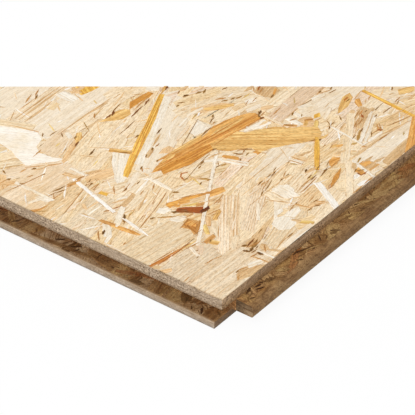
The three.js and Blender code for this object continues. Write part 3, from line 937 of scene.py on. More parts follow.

# Painted shadow in the dark gaps between the strands and in some brown lines beside them,
# knots, bark and pitch, and pale scratches: tone, start, end and width.
MARKS_BY_CORNER = [
    ("tan", 58, 171, 80, 171.6, 1.3), ("tan", 57, 174.2, 94, 174.6, 1.1),
    ("tan", 57, 176.6, 92, 176.6, 0.9), ("tan", 50, 176, 54.6, 160, 1.0),
    ("rust", 71, 181.6, 78, 183.6, 1.0), ("bark", 76.6, 179.8, 80, 181, 0.9),
    ("rust", 79, 181.6, 84, 183.6, 0.8), ("bark", 56, 152.8, 60.4, 152.6, 0.7),
    ("rust", 36.6, 148, 43, 148.6, 0.8), ("bark", 59, 147, 61, 149.6, 0.7),
    ("bark", 53, 155.6, 55, 157, 0.7), ("tan", 60, 150, 100, 149, 0.7),
    ("rust", 82, 144.6, 84.6, 146.8, 0.9), ("burnt", 56.2, 136.8, 60.4, 137.8, 1.1),
    ("bark", 61.4, 141.2, 63.6, 142, 1.2), ("burnt", 85, 139.6, 89.4, 139.6, 1.3),
    ("burnt", 89, 138.6, 92.6, 140.6, 1.4), ("bark", 91, 140.2, 99.4, 141.8, 0.7),
    ("burnt", 94, 130, 105, 131.4, 0.9), ("burnt", 106.4, 131, 112.4, 132.6, 1.1),
    ("rust", 100, 132.6, 113, 134, 0.9), ("void", 54.8, 126.2, 60.2, 127.4, 1.0),
    ("bark", 79, 125.5, 92.4, 126.6, 0.6), ("bark", 27.6, 141.6, 29.2, 140.4, 1.4),
    ("bark", 30, 139.4, 31.6, 137.8, 1.0), ("bark", 13, 145.8, 14.4, 145, 1.2),
    ("bark", 16.5, 150, 17.9, 152.8, 0.9), ("rust", 22, 144.6, 26, 144, 0.7),
    ("rust", 8, 146.6, 13, 146, 0.6), ("rust", 6, 139.4, 28, 134.2, 0.4),
    ("bark", 26.4, 134.6, 28.2, 133.8, 0.9), ("bark", 14, 138.4, 15.4, 137.6, 0.8),
    ("rust", 21, 139, 23.4, 138, 0.7),
    # Left.
    ("bark", 15, 120.3, 19, 119.5, 0.5), ("rust", 14.8, 117, 18, 119.6, 0.5),
    ("bark", 19.4, 119, 24, 117, 0.8), ("bark", 19.4, 121, 26.2, 119.4, 0.9),
    ("bark", 27, 117.9, 32.4, 117.6, 1.2), ("rust", 33, 118, 39, 116.8, 0.9),
    ("bark", 32.8, 111.2, 38.4, 112.4, 0.7), ("bark", 32.6, 109.2, 40.4, 110.6, 0.7),
    ("rust", 32.6, 107.4, 38, 107, 0.9), ("rust", 32.6, 106, 38, 106.8, 0.6),
    ("mahogany", 25.6, 88.2, 30.4, 86.6, 0.8), ("rust", 21.6, 90, 24, 88.6, 0.8),
    ("void", 23, 78, 25.6, 80.4, 1.7), ("olive", 27, 78.4, 30, 78.2, 0.7),
    ("bark", 20.6, 76.8, 21.8, 78, 0.9), ("void", 6.6, 79, 9.4, 80.2, 1.9),
    ("rust", 1.6, 77.2, 7.4, 82.6, 0.9), ("rust", 6, 65.4, 7.6, 65.8, 0.8),
    ("rust", 19.6, 66.8, 38, 71, 0.6), ("rust", 36, 70.6, 53, 75.4, 0.6),
    ("rust", 25, 71.4, 44, 75.4, 0.5), ("rust", 10, 105.6, 31, 110.6, 0.5),
    ("rust", 12, 104, 24, 105.4, 0.5), ("bark", 55.4, 72.8, 57, 70.6, 1.3),
    ("bark", 41.8, 93, 43.4, 93.2, 1.0), ("rust", 40, 93.2, 48, 94.6, 0.5),
    ("bark", 61, 98, 63, 98.6, 1.1), ("rust", 60, 96, 62.4, 98.4, 0.8),
    ("bark", 50, 91.6, 52, 91.8, 0.6), ("rust", 44, 84.6, 47, 85.2, 0.8),
    ("rust", 51, 82.6, 55, 84.6, 0.7), ("rust", 38, 97.4, 41.4, 99.6, 0.7),
    ("rust", 36.6, 95.6, 40, 98, 0.5),
    # Middle.
    ("bark", 65.8, 115.2, 68.4, 111, 0.6), ("bark", 70.4, 102, 72.6, 103, 1.0),
    ("bark", 77.4, 103.4, 79, 104.4, 1.3), ("void", 90.4, 110.4, 95.4, 111.4, 0.9),
    ("bark", 81.4, 117.2, 83.6, 117, 1.1), ("rust", 81, 104, 84, 104.2, 0.6),
    ("bark", 91, 94.4, 112.6, 101.5, 0.5), ("bark", 71, 95.4, 72.4, 95.8, 0.9),
    ("bark", 119.2, 96.8, 121.2, 97.8, 1.1), ("bark", 114.6, 94.8, 119.6, 95.8, 0.7),
    ("rust", 114.6, 93, 116.6, 93.4, 0.6), ("olive", 112, 104, 116.8, 105, 0.8),
    ("bark", 125.4, 124, 127.6, 124.6, 0.9), ("void", 125, 120, 127.4, 119, 1.8),
    ("bark", 115.6, 117.2, 117.2, 117, 1.0), ("bark", 131, 116.2, 134, 115.2, 1.4),
    ("bark", 133.8, 113.6, 136.8, 114.6, 1.6), ("burnt", 123.4, 131.6, 127.4, 132.2, 1.9),
    ("bark", 118.6, 118.6, 121, 116.4, 0.8), ("bark", 133.6, 101.4, 136, 100, 1.0),
    ("rust", 133, 104.8, 137, 102, 1.2), ("bark", 142.4, 107.8, 144.8, 107, 0.9),
    ("bark", 138, 98.6, 140, 98.3, 1.0), ("olive", 140.4, 96.9, 143.6, 96.2, 0.8),
    ("rust", 139, 90, 142, 90.8, 0.6), ("rust", 143, 88.6, 146.8, 89.2, 0.5),
    ("bark", 96.2, 79, 98.2, 78.4, 1.1), ("cinnamon", 100, 80.9, 118, 79.3, 0.6),
    ("cinnamon", 118, 78.6, 134.6, 76, 0.6), ("cinnamon", 70, 91.4, 84, 89.4, 0.5),
    ("cinnamon", 58, 102.7, 84, 114, 0.4), ("cinnamon", 80, 112.8, 108, 124.9, 0.35),
    ("cinnamon", 80, 88.8, 99, 86.4, 0.5), ("cinnamon", 72, 95.4, 86, 92.4, 0.8),
    ("cinnamon", 90, 89.6, 104, 88.2, 0.5), ("cinnamon", 101, 87.4, 124, 84.8, 0.55),
    ("cinnamon", 104, 85.4, 134, 80, 0.4), ("cinnamon", 100, 84.6, 116, 81.6, 0.9),
    ("bark", 103, 91.2, 111, 91.8, 0.6), ("cinnamon", 78, 84.8, 98, 81.4, 0.45),
    ("void", 136, 79.5, 139, 80.4, 1.9), ("bark", 133.8, 77.6, 135.6, 79, 1.3),
    ("burnt", 133, 76.2, 135.2, 75.8, 1.5), ("rust", 136, 78, 139, 78.1, 0.6),
    ("mahogany", 66.8, 74.6, 68, 77.6, 0.9), ("mahogany", 67.8, 77.8, 71, 79.2, 0.9),
    ("mahogany", 70, 79.2, 73.2, 77.6, 0.9), ("bark", 66.6, 74.8, 70.2, 74.6, 0.8),
    ("bark", 70, 74.6, 92, 78.2, 0.35), ("bark", 82.4, 76.1, 85.8, 76.6, 0.8),
    ("bark", 79.4, 75.2, 81.2, 75.3, 0.8), ("bark", 87.6, 68.6, 90, 70.8, 0.6),
    ("olive", 88.4, 67.2, 90.6, 66.4, 1.3), ("olive", 73, 69, 75.2, 64.6, 1.4),
    ("bark", 74, 65, 75, 64.4, 0.8), ("bark", 100.6, 68.4, 102.6, 65, 0.9),
    ("bark", 103, 62.8, 105.4, 63, 0.7), ("bark", 105.6, 67, 109, 63.6, 0.7),
    ("rust", 103.6, 65.4, 107, 66.4, 0.6), ("rust", 104, 68.6, 108, 66, 0.5),
    ("bark", 97.4, 62.4, 98.8, 63, 0.8),
    # Right.
    ("mahogany", 152.6, 92.6, 156.4, 94, 1.2), ("rust", 151.6, 90.6, 156, 92, 0.9),
    ("rust", 151, 94, 154, 96.4, 0.9), ("bark", 151.6, 83.3, 154.6, 84, 0.8),
    ("bark", 170.8, 65.8, 172.2, 66.6, 1.0), ("bark", 173.4, 61.8, 177.8, 60.8, 0.6),
    ("bark", 176.6, 63.4, 178.4, 63.8, 1.1), ("rust", 171.6, 65, 176.4, 62.8, 0.5),
    ("bark", 145.8, 65.4, 147.6, 66, 1.1), ("rust", 140.6, 73.3, 147, 73.8, 0.8),
    ("bark", 147.6, 60.7, 148.8, 61.5, 0.6), ("bark", 136.4, 62.8, 138.6, 58.6, 0.7),
    ("bark", 172.4, 50, 175.2, 50.2, 0.7), ("mahogany", 166, 34.6, 168, 37.4, 1.4),
    ("bark", 170.8, 36.8, 172.4, 37, 1.2), ("rust", 161, 35, 169, 39.4, 0.8),
    ("rust", 156, 33.6, 161, 35.4, 0.8), ("rust", 181, 42.2, 184.6, 43.2, 0.8),
    ("bark", 147.4, 43, 149.4, 43.9, 0.9), ("bark", 150, 44, 154.2, 44.3, 0.5),
    ("bark", 150.4, 44.8, 152.2, 47.6, 0.5), ("bark", 157.6, 42.6, 159.6, 45.2, 0.7),
    ("bark", 136, 40.8, 137.8, 41.2, 1.0), ("bark", 132.6, 44.4, 135.4, 42.4, 0.6),
    ("rust", 134, 32.6, 136.6, 33.2, 0.6), ("olive", 148, 25.4, 155, 28.8, 1.8),
    ("bark", 147.4, 28.2, 151, 28.8, 0.5), ("bark", 154, 28.4, 158.4, 29.6, 0.7),
    ("olive", 143.4, 25.6, 145.6, 24.4, 1.5), ("rust", 144.8, 20.2, 146.4, 19, 1.1),
    ("mahogany", 161.4, 22.4, 163.2, 20.8, 1.2), ("rust", 162.6, 21, 166.8, 25.4, 0.5),
    ("bark", 155.2, 22, 158.2, 23.9, 0.7), ("rust", 157, 22.7, 162, 22, 0.6),
    ("bark", 170, 30.4, 172.2, 30.6, 0.8), ("bark", 176, 29.1, 183, 28.8, 0.4),
    ("bark", 186.6, 28, 190, 29.2, 0.6), ("rust", 188, 30, 192, 30.2, 0.6),
    ("bark", 195.4, 37.4, 197.6, 38.6, 0.8), ("tan", 130, 18.7, 160, 16.9, 1.2),
    ("tan", 160, 16.9, 177, 14.8, 1.1), ("bark", 124.8, 10.5, 127.2, 11.4, 0.9),
    ("burnt", 124.6, 8.8, 124.6, 6.4, 0.9), ("mahogany", 124.6, 6.2, 129, 5.8, 0.8),
    ("rust", 126, 9, 127.4, 7, 0.8),
    # Front.
    ("bark", 120.8, 25, 124.4, 26.2, 0.7), ("rust", 120, 22.3, 128.6, 22.4, 0.6),
    ("bark", 114.6, 26.9, 118.2, 27.7, 0.8), ("bark", 111.4, 22, 119.6, 23.8, 0.6),
    ("bark", 115.4, 22.9, 117.4, 23.5, 0.9), ("rust", 94.6, 21.8, 109, 23.1, 0.6),
    ("rust", 94.6, 23.8, 108, 24.6, 0.5), ("bark", 105.4, 26, 109, 26.3, 0.8),
    ("bark", 106, 24, 110.4, 24.4, 0.7), ("void", 109.6, 30.2, 111.6, 31, 1.4),
    ("bark", 99.6, 35, 103, 36, 1.0), ("bark", 96, 35.9, 98.4, 36.2, 1.0),
    ("rust", 99.6, 36.6, 103.8, 38.4, 0.8), ("bark", 109, 41.2, 112.4, 42.4, 0.7),
    ("bark", 94.6, 43, 98.2, 43.4, 0.8), ("bark", 96.2, 41.7, 101, 42.6, 0.8),
    ("bark", 100, 43.3, 103.4, 44.2, 0.6), ("bark", 86, 42.5, 90.2, 42.8, 0.7),
    ("rust", 87, 41.2, 90, 41.4, 0.6), ("bark", 84.8, 36.9, 93.4, 39.4, 0.6),
    ("rust", 84, 38.2, 95, 41.2, 0.5), ("bark", 79.8, 35.8, 83.6, 37.4, 0.8),
    ("rust", 79, 30, 83.4, 21.6, 0.7), ("bark", 85, 18, 86.4, 18.7, 0.8),
    ("rust", 105.8, 12.5, 112, 13, 0.6), ("bark", 91.4, 11.8, 94, 11.5, 0.8),
    ("bark", 88.6, 9.4, 91.2, 7.8, 0.8), ("rust", 93, 11, 95.2, 6.8, 0.7),
    ("rust", 90, 9.8, 93, 8, 0.8), ("bark", 84, 10, 86.2, 9.8, 0.7),
    ("rust", 90.6, 14, 95, 14.6, 0.6), ("rust", 92, 18.4, 98, 18.6, 0.5),
    ("bark", 59.8, 4.7, 64.2, 4.8, 0.7), ("rust", 50, 3.6, 60, 4.8, 0.4),
    ("bark", 53.8, 18.2, 57.8, 18.8, 0.8), ("void", 38, 15.4, 39.4, 12.6, 1.8),
    ("void", 38.8, 12.6, 43, 13, 1.5), ("burnt", 41.4, 15.8, 48.8, 17.2, 1.7),
    ("bark", 42.8, 14, 49.4, 15.4, 1.2), ("bark", 40.4, 18.2, 42.4, 16.6, 1.6),
    ("bark", 43, 11.6, 45.2, 12.1, 0.7), ("bark", 39.2, 11.2, 42.4, 11, 0.7),
    ("rust", 45.6, 13.4, 49.6, 13.8, 0.6), ("void", 40.8, 9, 41.3, 6.2, 2.0),
    ("rust", 36, 9.6, 40, 8.8, 0.8), ("rust", 44, 6.2, 48, 10.2, 0.8),
    ("rust", 36.8, 8, 37.6, 1, 0.9), ("rust", 17.2, 3.2, 21, 5.4, 1.0), ("rust", 24, 8, 28, 6, 1.0),
    ("bark", 21.6, 7.6, 23.8, 7.9, 0.8), ("rust", 1, 23.3, 4.6, 23.8, 0.6),
    ("rust", 18, 24, 23, 23.2, 0.5), ("rust", 24, 22.8, 28, 21.4, 0.5),
    ("bark", 19.4, 30.1, 20.6, 30.4, 0.7), ("mahogany", 4, 41.7, 26, 40, 0.4),
    ("rust", 22, 38.8, 30, 37, 0.6), ("bark", 33.4, 32.8, 35.6, 33.6, 0.9),
    ("bark", 23.6, 33.8, 24.4, 33.4, 0.9), ("rust", 31, 35.8, 33, 34, 0.6),
    ("rust", 33.6, 51.4, 42, 53, 0.6), ("rust", 33.2, 42.6, 39, 42.4, 0.6),
    ("void", 41.8, 63, 43.4, 61, 1.7), ("void", 50.6, 50.4, 54, 49.8, 0.9),
    ("burnt", 43.4, 61, 48, 54.4, 0.9), ("rust", 51, 47.4, 58.6, 45.4, 0.6),
    ("rust", 52, 45.6, 57, 43.8, 0.5), ("rust", 60, 50.6, 69, 51.8, 0.7),
    ("rust", 62, 49.6, 65, 49.8, 0.6), ("bark", 68.6, 66, 70.4, 66.6, 0.7),
    ("rust", 60, 54.4, 64, 56.6, 0.5), ("bark", 30.8, 68, 32.6, 67, 1.2),
    ("olive", 34, 65.6, 40, 59.4, 0.9), ("rust", 42, 54.6, 48, 53.4, 0.5),
    ("rust", 84, 20, 86.6, 10.5, 0.9), ("tan", 172, 25.6, 190.4, 21.5, 0.6),
    ("tan", 166.2, 23.5, 185.4, 18, 0.5), ("rust", 168, 20.6, 182, 16.4, 0.6),
    ("tan", 163, 18, 179, 13.7, 0.5), ("rust", 27.1, 144.9, 40.5, 132.6, 0.7),
    ("bark", 126.5, 9.9, 129, 7.7, 1.1), ("rust", 112.4, 43, 113.8, 35, 0.7),
    ("rust", 116, 43.6, 117.2, 35.8, 0.7), ("tan", 30, 91, 36, 88.4, 1.5),
    ("tan", 57.6, 87.4, 66, 85, 1.3), ("tan", 90, 76.4, 97, 74, 1.3),
    ("olive", 153, 28.6, 155.6, 29.4, 1.0), ("tan", 149.4, 22.8, 171.6, 32.9, 0.5),
    ("rust", 27, 70.4, 53, 79.2, 0.4), ("tan", 33, 77.4, 50, 84, 1.3),
    ("rust", 109, 0.5, 118, 0.5, 0.9), ("rust", 141, 63, 144, 61.6, 1.0),
    ("tan", 128, 124.6, 134.4, 123.8, 1.9), ("rust", 78, 17, 84, 18.6, 0.6),
    ("tan", 137, 7.6, 144, 6.2, 2.2), ("cinnamon", 36, 47.4, 42.6, 47.8, 0.7),
    ("cinnamon", 36, 50, 41.6, 50.6, 0.6), ("rust", 159, 33.4, 166, 34.4, 0.7),
    ("rust", 163, 38.2, 170, 40, 0.7), ("pale_beige", 161, 36, 166, 37.6, 0.9),
    ("cinnamon", 167.6, 38, 171, 38.8, 0.8), ("tan", 137, 33.6, 143, 34, 1.4),
    ("tan", 194, 25.6, 203, 24.6, 2.0), ("tan", 40.6, 117.4, 48, 113.6, 1.8),
    ("near_white", 54, 0.6, 76, 0.2, 1.8), ("cinnamon", 160, 0.4, 186, 13.6, 0.8),
    ("cinnamon", 164, -0.6, 188, 11.4, 0.6), ("rust", 119, 0.5, 127, 0.5, 0.8),
    ("cinnamon", 86, 84.6, 98, 82.6, 0.9), ("rust", 42, 15.2, 48, 13.6, 1.4),
    ("tan", 58.6, 54.6, 65, 52.4, 1.3), ("near_white", 76, 41, 84, 40.2, 1.6),
    ("toffee", 27, 118, 35, 116.4, 2.2), ("toffee", 61, 60.6, 68, 57.6, 2.0),
    ("tan", 19, 4, 33, 3, 1.6), ("bark", 41, 13.8, 46, 13.2, 1.2), ("tan", 148, 97.6, 156, 97, 2.2),
    ("pale_beige", 47.6, 29.6, 56, 34.6, 1.6), ("tan", 78.9, 48.5, 115.2, 49.1, 0.45),
    ("straw", 75, 43.7, 112.8, 42.3, 0.45), ("straw", 87, 40.7, 120.1, 41.4, 0.45),
    ("tan", 70.7, 35.5, 99.5, 35.6, 0.45), ("tan", 133, 12.2, 141, 11.2, 1.6),
    ("tan", 97, 37, 103, 34.4, 1.8), ("tan", 119, 41, 126, 38.6, 2.0),
    ("tan", 109, 29.6, 116, 28.4, 2.0), ("tan", 28, 119, 33, 117.6, 1.8),
    ("near_white", 58, 0.4, 74, 0.2, 2.2), ("pale_beige", 10, 104, 20, 104.6, 2.6),
    ("pale_beige", 31, 72.6, 41, 75, 2.6), ("tan", 131, 27.6, 137, 25, 1.6),
    ("deep_amber", 170, 6.4, 184, 12.4, 1.4), ("cream", 34, 111.4, 41, 109.6, 2.0),
    ("pale_beige", 131, 119, 141, 117.4, 2.0), ("pale_beige", 1, 93.4, 10, 92.6, 2.0),
    ("light_amber", 70, 93.4, 84, 92.2, 2.6), ("cream", 28, 140, 35, 137.6, 2.2),
    ("tan", 149.6, 37.6, 156, 39.6, 1.4), ("pale_beige", 29.6, 103.6, 37, 103.6, 2.8),
    ("straw", 128.6, 73, 135, 72, 1.8), ("light_amber", 120, 131, 128, 133.4, 1.6),
    ("tan", 26, 88, 33, 86.6, 1.6), ("light_amber", 136, 42.4, 142.6, 40.4, 1.8),
    ("tan", 44, 0.4, 53, 0.3, 1.0), ("pale_beige", 92, 98.6, 106, 101.4, 3.2),
    ("pale_beige", 81, 19.4, 89, 18.4, 1.8), ("near_white", 0.6, 74, 0.6, 60, 1.4),
    ("deep_amber", 54, 102.8, 117, 129.9, 0.5), ("deep_amber", 56, 101.2, 118, 128.3, 0.5),
]

# Splinters and cracks on top of the side tongue: tone, start, end and width, again in mm
# from the panel's corner, so that the tongue lies at negative distances.
BARED_BY_CORNER = [
    ("fawn", 109.6, -0.6, 122.4, -8, 1.8), ("char", 108.4, -0.8, 113, -2.4, 1.1),
    ("char", 117.6, -5.2, 120.4, -6.6, 1.1), ("char", 57, -0.6, 68, -4.6, 0.9),
    ("fawn", 60, -2.6, 75, -8, 1.5), ("umber", 82, -5.6, 87, -6.8, 2.4),
    ("char", 83.4, -5.8, 85.6, -6.6, 1.0), ("umber", 96, -3.4, 102, -4.8, 2.0),
    ("char", 98.4, -3.4, 100, -5, 0.9), ("umber", 31, -2.4, 36.6, -4.8, 2.6),
    ("char", 33, -2.4, 34.4, -5, 0.9), ("char", 23, -3.2, 27.6, -5.2, 0.9),
    ("char", 15.4, -5.2, 18.4, -6.8, 0.9), ("russet", 146, -1.4, 157, -4.8, 5.0),
    ("fawn", 130, -1.8, 143, -4.6, 4.6), ("fawn", 41, -2, 47, -6.4, 3.0),
]

def hand_laid_shape(run, width, cut, rng):
    """A strand of a listed row, cut at its ends as the row says."""
    rows = 2 if width > WIDE_STRAND else 1
    bow = HAND_LAID_BOW * run * rng.uniform(-1, 1)
    return strand_shape(run, width, *CUTS[cut], bow, rng, rows, HAND_LAID_STATIONS)


def lay_between(layer, shape, tone, ends, height, edge, ring=None, spacing=None):
    """Lays a shape from one end to the other, in mm from the corner."""
    rng = layer.rng
    x0, y0, x1, y1 = ends
    edge_tone, edge_share = edge
    colour, own_ring = TONES[tone]
    colour = np.array(colour) * rng.uniform(*HAND_LAID_BRIGHTNESS)
    edge_colour = colour * (1 - edge_share) + np.array(TONES[edge_tone][0]) * edge_share
    layer.lay(shape, place=(WEST + (x0 + x1) / 2, SOUTH + (y0 + y1) / 2),
              turn=math.atan2(y1 - y0, x1 - x0), scale=(1, 1), colour=colour,
              ring=own_ring if ring is None else ring,
              spacing=spacing or rng.uniform(*HAND_LAID_SPACINGS),
              drift=rng.normal(0, HAND_LAID_DRIFT), height=height, edge_colour=edge_colour)


def heights_between(limits, count):
    """count heights in even steps between two limits."""
    return np.linspace(*limits, count, endpoint=False)


def stacked(rows, limits):
    """Each row with its height, the first one lowest."""
    return zip(rows, heights_between(limits, len(rows)))


def shade_sides(layer, row, height):
    """Thin brown shadow lines in the gaps along both sides of a broad strand."""
    rng = layer.rng
    _, x0, y0, x1, y1, width, *_ = row
    run = math.hypot(x1 - x0, y1 - y0)
    ahead = np.array((x1 - x0, y1 - y0)) / run
    aside = np.array((-ahead[1], ahead[0])) * (width / 2 - SHADE_INSET)
    for side in (-1, 1):
        first = rng.uniform(*SHADE_STARTS)
        last = first + rng.uniform(*SHADE_RUNS)
        start, end = (np.array((x0, y0)) + ahead * run * share + side * aside
                      for share in (first, last))
        tone = rng.choice(list(SHADE_TONES), p=list(SHADE_TONES.values()))
        shape = mark_shape(run * (last - first), rng.uniform(*SHADE_WIDTHS),
                           rng.uniform(-SHADE_BOW, SHADE_BOW), rng)
        lay_between(layer, shape, tone, (*start, *end), height + SHADE_LIFT, SHADE_EDGE)


def lay_strands(layer, rows, limits, shaded):
    """Lays listed rows of strands, with shadow lines along their sides if shaded."""
    for row, height in stacked(rows, limits):
        tone, x0, y0, x1, y1, width, cut, *rings = row
        shape = hand_laid_shape(math.hypot(x1 - x0, y1 - y0), width, cut, layer.rng)
        lay_between(layer, shape, tone, (x0, y0, x1, y1), height, STRAND_EDGE,
                    spacing=rings[0] if rings else None)
        if shaded:
            shade_sides(layer, row, height)


def lay_patches(layer):
    """Lays the strands of an uneven outline, whose corners already lie in their places."""
    for patch, height in stacked(PATCHES_BY_CORNER, PATCH_HEIGHTS):
        tone, heading, spacing, ring, *corners = patch
        turn = math.radians(heading)
        ends = (0, 0, math.cos(turn), math.sin(turn))
        shape = patch_shape(corners, heading, layer.rng)
        shape["coords"] = shape["coords"] - (0.5, 0, 0)
        lay_between(layer, shape, tone, ends, height, PATCH_EDGE, ring, spacing)


def lay_marks(layer):
    """Lays the painted shadows in the gaps, and the knots, bark, pitch and scratches."""
    for mark, height in stacked(MARKS_BY_CORNER, MARK_HEIGHTS):
        tone, x0, y0, x1, y1, width = mark
        run = math.hypot(x1 - x0, y1 - y0)
        bow = min(MARK_BOW * run, MOST_MARK_BOW) * layer.rng.uniform(-1, 1)
        shape = mark_shape(run + MARK_OVERRUN, width * MARK_SPREAD, bow, layer.rng)
        edge = PALE_MARK_EDGE if tone in PALE_MARKS else DARK_MARK_EDGE
        lay_between(layer, shape, tone, (x0, y0, x1, y1), height, edge)


def lay_loose_fibres(layer):
    """Lays thin fibres that the strands have shed, most of them pale, lying any way round."""
    rng = layer.rng
    low = np.array((WEST, SOUTH))
    shapes = [mark_shape(rng.uniform(*FIBRE_LENGTHS), rng.uniform(*FIBRE_WIDTHS),
                         rng.uniform(-FIBRE_BOW, FIBRE_BOW), rng) for _ in range(FIBRE_SHAPES)]
    strands = scatter(rng, shapes, FIBRE_COUNT, low, low + FIBRE_AREA, FIBRE_TONES,
                      FIBRE_HEADING, FIBRE_SPREAD, FIBRE_STRAY)
    layer.lay_all(shapes, strands, heights_between(FIBRE_HEIGHTS, FIBRE_COUNT))


def lay_splinters(layer):
    """Lays the splinters and cracks on top of the side tongue."""
    for tone, x0, y0, x1, y1, width in BARED_BY_CORNER:
        shape = mark_shape(math.hypot(x1 - x0, y1 - y0), width, SPLINTER_BOW, layer.rng)
        lay_between(layer, shape, tone, (x0, y0, x1, y1), SPLINTER_HEIGHT, SPLINTER_EDGE)


# ---------------------------------------------------------------- tints of the finishes

# What marks, wear, and painted light and shade multiply a tone by, as factors of red, green and
# blue.
TINTS = {
    # On the pressed strands.
    "late wood": (0.80, 0.62, 0.43),
    "dark streak": (0.86, 0.78, 0.65),
    "pale resin": (1.08, 1.12, 1.14),
    "pale streak": (1.05, 1.09, 1.16),
    "dark fibre": (0.82, 0.71, 0.56),
    "pale fibre": (1.07, 1.11, 1.15),
    "dark fuzz": (0.78, 0.77, 0.76),
    "pale fuzz": (1.13, 1.13, 1.13),
    "fleck": (0.68, 0.50, 0.31),
    "stain": (0.93, 0.86, 0.74),
    # Painted shade, with some dirt, along the torn rims of strands.
    "painted shade and dirt at torn rims": (0.62, 0.43, 0.25),
    # Darker along the arrises of the top face.
    "darker along the arrises": (0.72, 0.70, 0.68),
    # On the strands that the cutter has bared.
    "resin in bared grain": (0.62, 0.54, 0.44),
    "worn bared grain": (1.25, 1.28, 1.26),
    # On every milled flank.
    "torn fibre": (0.47, 0.40, 0.32),
    "raised fibre": (1.34, 1.34, 1.28),
    "dark blotch": (0.78, 0.68, 0.54),
    "pale blotch": (1.20, 1.27, 1.30),
    # Painted light deep in the groove and at its open end.
    "painted light in the groove": (1.65, 1.65, 1.65),
    "painted light at the open groove end": (1.06, 1.06, 1.02),
    "tongue": (0.66, 0.665, 0.61),
    # Painted light on the tongue by its shoulder.
    "painted light by the shoulder": (1.12, 1.15, 1.15),
    "dark grain of the nose": (0.84, 0.80, 0.76),
    # On the sawn faces of the edges.
    "dark layer": (0.72, 0.64, 0.54),
    "open pore": (0.34, 0.28, 0.23),
    "cut fibre end": (1.7, 1.7, 1.72),
    "long side": (1.14, 1.01, 0.86),
    "tongue end": (0.92, 0.84, 0.70),
    # Painted shade at the root of the tongue's end.
    "painted shade at the root of the tongue end": (0.50, 0.47, 0.43),
    "split in the tongue end": (0.62, 0.54, 0.44),
    "end of the lower lip": (0.50, 0.46, 0.42),
    "face of the lower lip": (1.05, 1.10, 1.20),
    # Painted shade along the base of the lower lip and at the feet of the upper lip and the
    # shoulder.
    "painted shade at the base of the lower lip": (0.70, 0.74, 0.78),
    "painted shade at the foot of the upper lip": (0.66, 0.60, 0.53),
    "painted shade at the foot of the shoulder": (0.86, 0.80, 0.68),
    # On the planed flanks and on the faces between their strands.
    "dark flank fibre": (0.54, 0.46, 0.38),
    "pale flank fibre": (1.35, 1.35, 1.32),
    "crack": (0.36, 0.28, 0.2),
    "lower flank": (1.0, 1.08, 1.20),
    "gap between strands": (0.8, 0.7, 0.56),
}

# Darkest and palest tone of each kind of cut wood, and the painted light on the mouth of the
# groove.
NOSE_TONES = (srgb(104, 76, 47), srgb(150, 117, 79))
SAWN_TONES = (srgb(152, 131, 108), srgb(176, 156, 133))
PLANED_TONES = (srgb(130, 90, 52), srgb(170, 136, 98))
PRESSED_TONES = (srgb(212, 180, 134), srgb(228, 199, 156))
MOUTH_PAINTED_LIGHT = srgb(160, 130, 97)

# How far in from its arrises the top face is darker, and how much less at the long sides.
ARRIS_DARKENING_REACH = 0.9
SIDE_MARGIN = 0.6

# Along the milled edges one finish turns into the next over SEAM. That of the pressed faces is
# full at SKIN below them.
SEAM = 0.1
SKIN = 0.02

# Where each tint of the milled edges starts and where it is full, in mm: as a height above
# the underside, as a place along Y, or as a distance out of the groove's mouth or out of the
# tongue's shoulder. Two more numbers are its strength at these places. Those at the base of
# the lower lip, at the feet of the upper lip and the shoulder and at the root of the tongue's
# end place painted shade; those in the groove, at its open end, on its mouth and on the
# tongue by its shoulder place painted light.
LIP_FACE = (3.2, 1.6)
LIP_BASE_SHADE = (2.0, 0.4)
UPPER_LIP_SHADE = (TONGUE_TOP + 1.8, TONGUE_TOP + 0.4)
SHOULDER_FOOT_SHADE = (15.8, 13.6)
FLANK_FOOT = (8.0, 5.0)
TONGUE_ROOT_SHADE_RUN = (SOUTH - 9, SOUTH - 2)
OPEN_END_LIGHT_RUN = (SOUTH + 65, SOUTH + 35)
OPEN_END_LIGHT_DEPTH = (-20.0, -15.0)
GROOVE_LIGHT_SPAN = (-3.0, -7.0)
MOUTH_LIGHT_SPAN = (0.5, 2.2, 0.0, 0.75)
TONGUE_START = (-0.2, 0.0)
SHOULDER_LIGHT_SPAN = (5.0, 1.0)
NOSE_START = (6.0, 9.0, 0.0, 0.6)


# ---------------------------------------------------------------- node helpers

def node(tree, kind, settings=None, **inputs):
    """Adds a node, sets its properties and sockets, and links the sockets given to it."""
    made = tree.nodes.new(kind)
    for name, value in (settings or {}).items():
        setattr(made, name, value)
    for name, value in inputs.items():
        socket = made.inputs[int(name[1:])] if name[1:].isdigit() else made.inputs[name]
        if isinstance(value, bpy.types.NodeSocket):
            tree.links.new(value, socket)
        else:
            socket.default_value = value
    return made


def maths(tree, operation, first, second=0.0, third=0.0):
    """One step of arithmetic on numbers or sockets."""
    return node(tree, "ShaderNodeMath", {"operation": operation},
                _0=first, _1=second, _2=third).outputs[0]


def times(tree, first, *others):
    """The product of numbers or sockets."""
    for other in others:
        first = maths(tree, "MULTIPLY", first, other)
    return first


def minus(tree, first, second):
    """What is left of a number or socket after another is taken off."""
    return maths(tree, "SUBTRACT", first, second)


def larger(tree, first, second):
    """The larger of two numbers or sockets."""
    return maths(tree, "MAXIMUM", first, second)


def span(tree, value, low, high, to_low=0.0, to_high=1.0, smooth=True):
    """Maps low..high of a value to to_low..to_high, clamped."""
    kind = "SMOOTHSTEP" if smooth else "LINEAR"
    made = node(tree, "ShaderNodeMapRange", {"interpolation_type": kind}, Value=value)
    for name, number in (("From Min", low), ("From Max", high),
                         ("To Min", to_low), ("To Max", to_high)):
        made.inputs[name].default_value = number
    return made.outputs["Result"]


def mix(tree, way, factor, base, colour):
    """base with colour mixed into it in one of the ways of a Mix node, as far as factor says."""
    base, colour = (value if isinstance(value, bpy.types.NodeSocket) else (*value, 1)
                    for value in (base, colour))
    return node(tree, "ShaderNodeMix", {"data_type": "RGBA", "blend_type": way},
                _0=factor, _6=base, _7=colour).outputs[2]


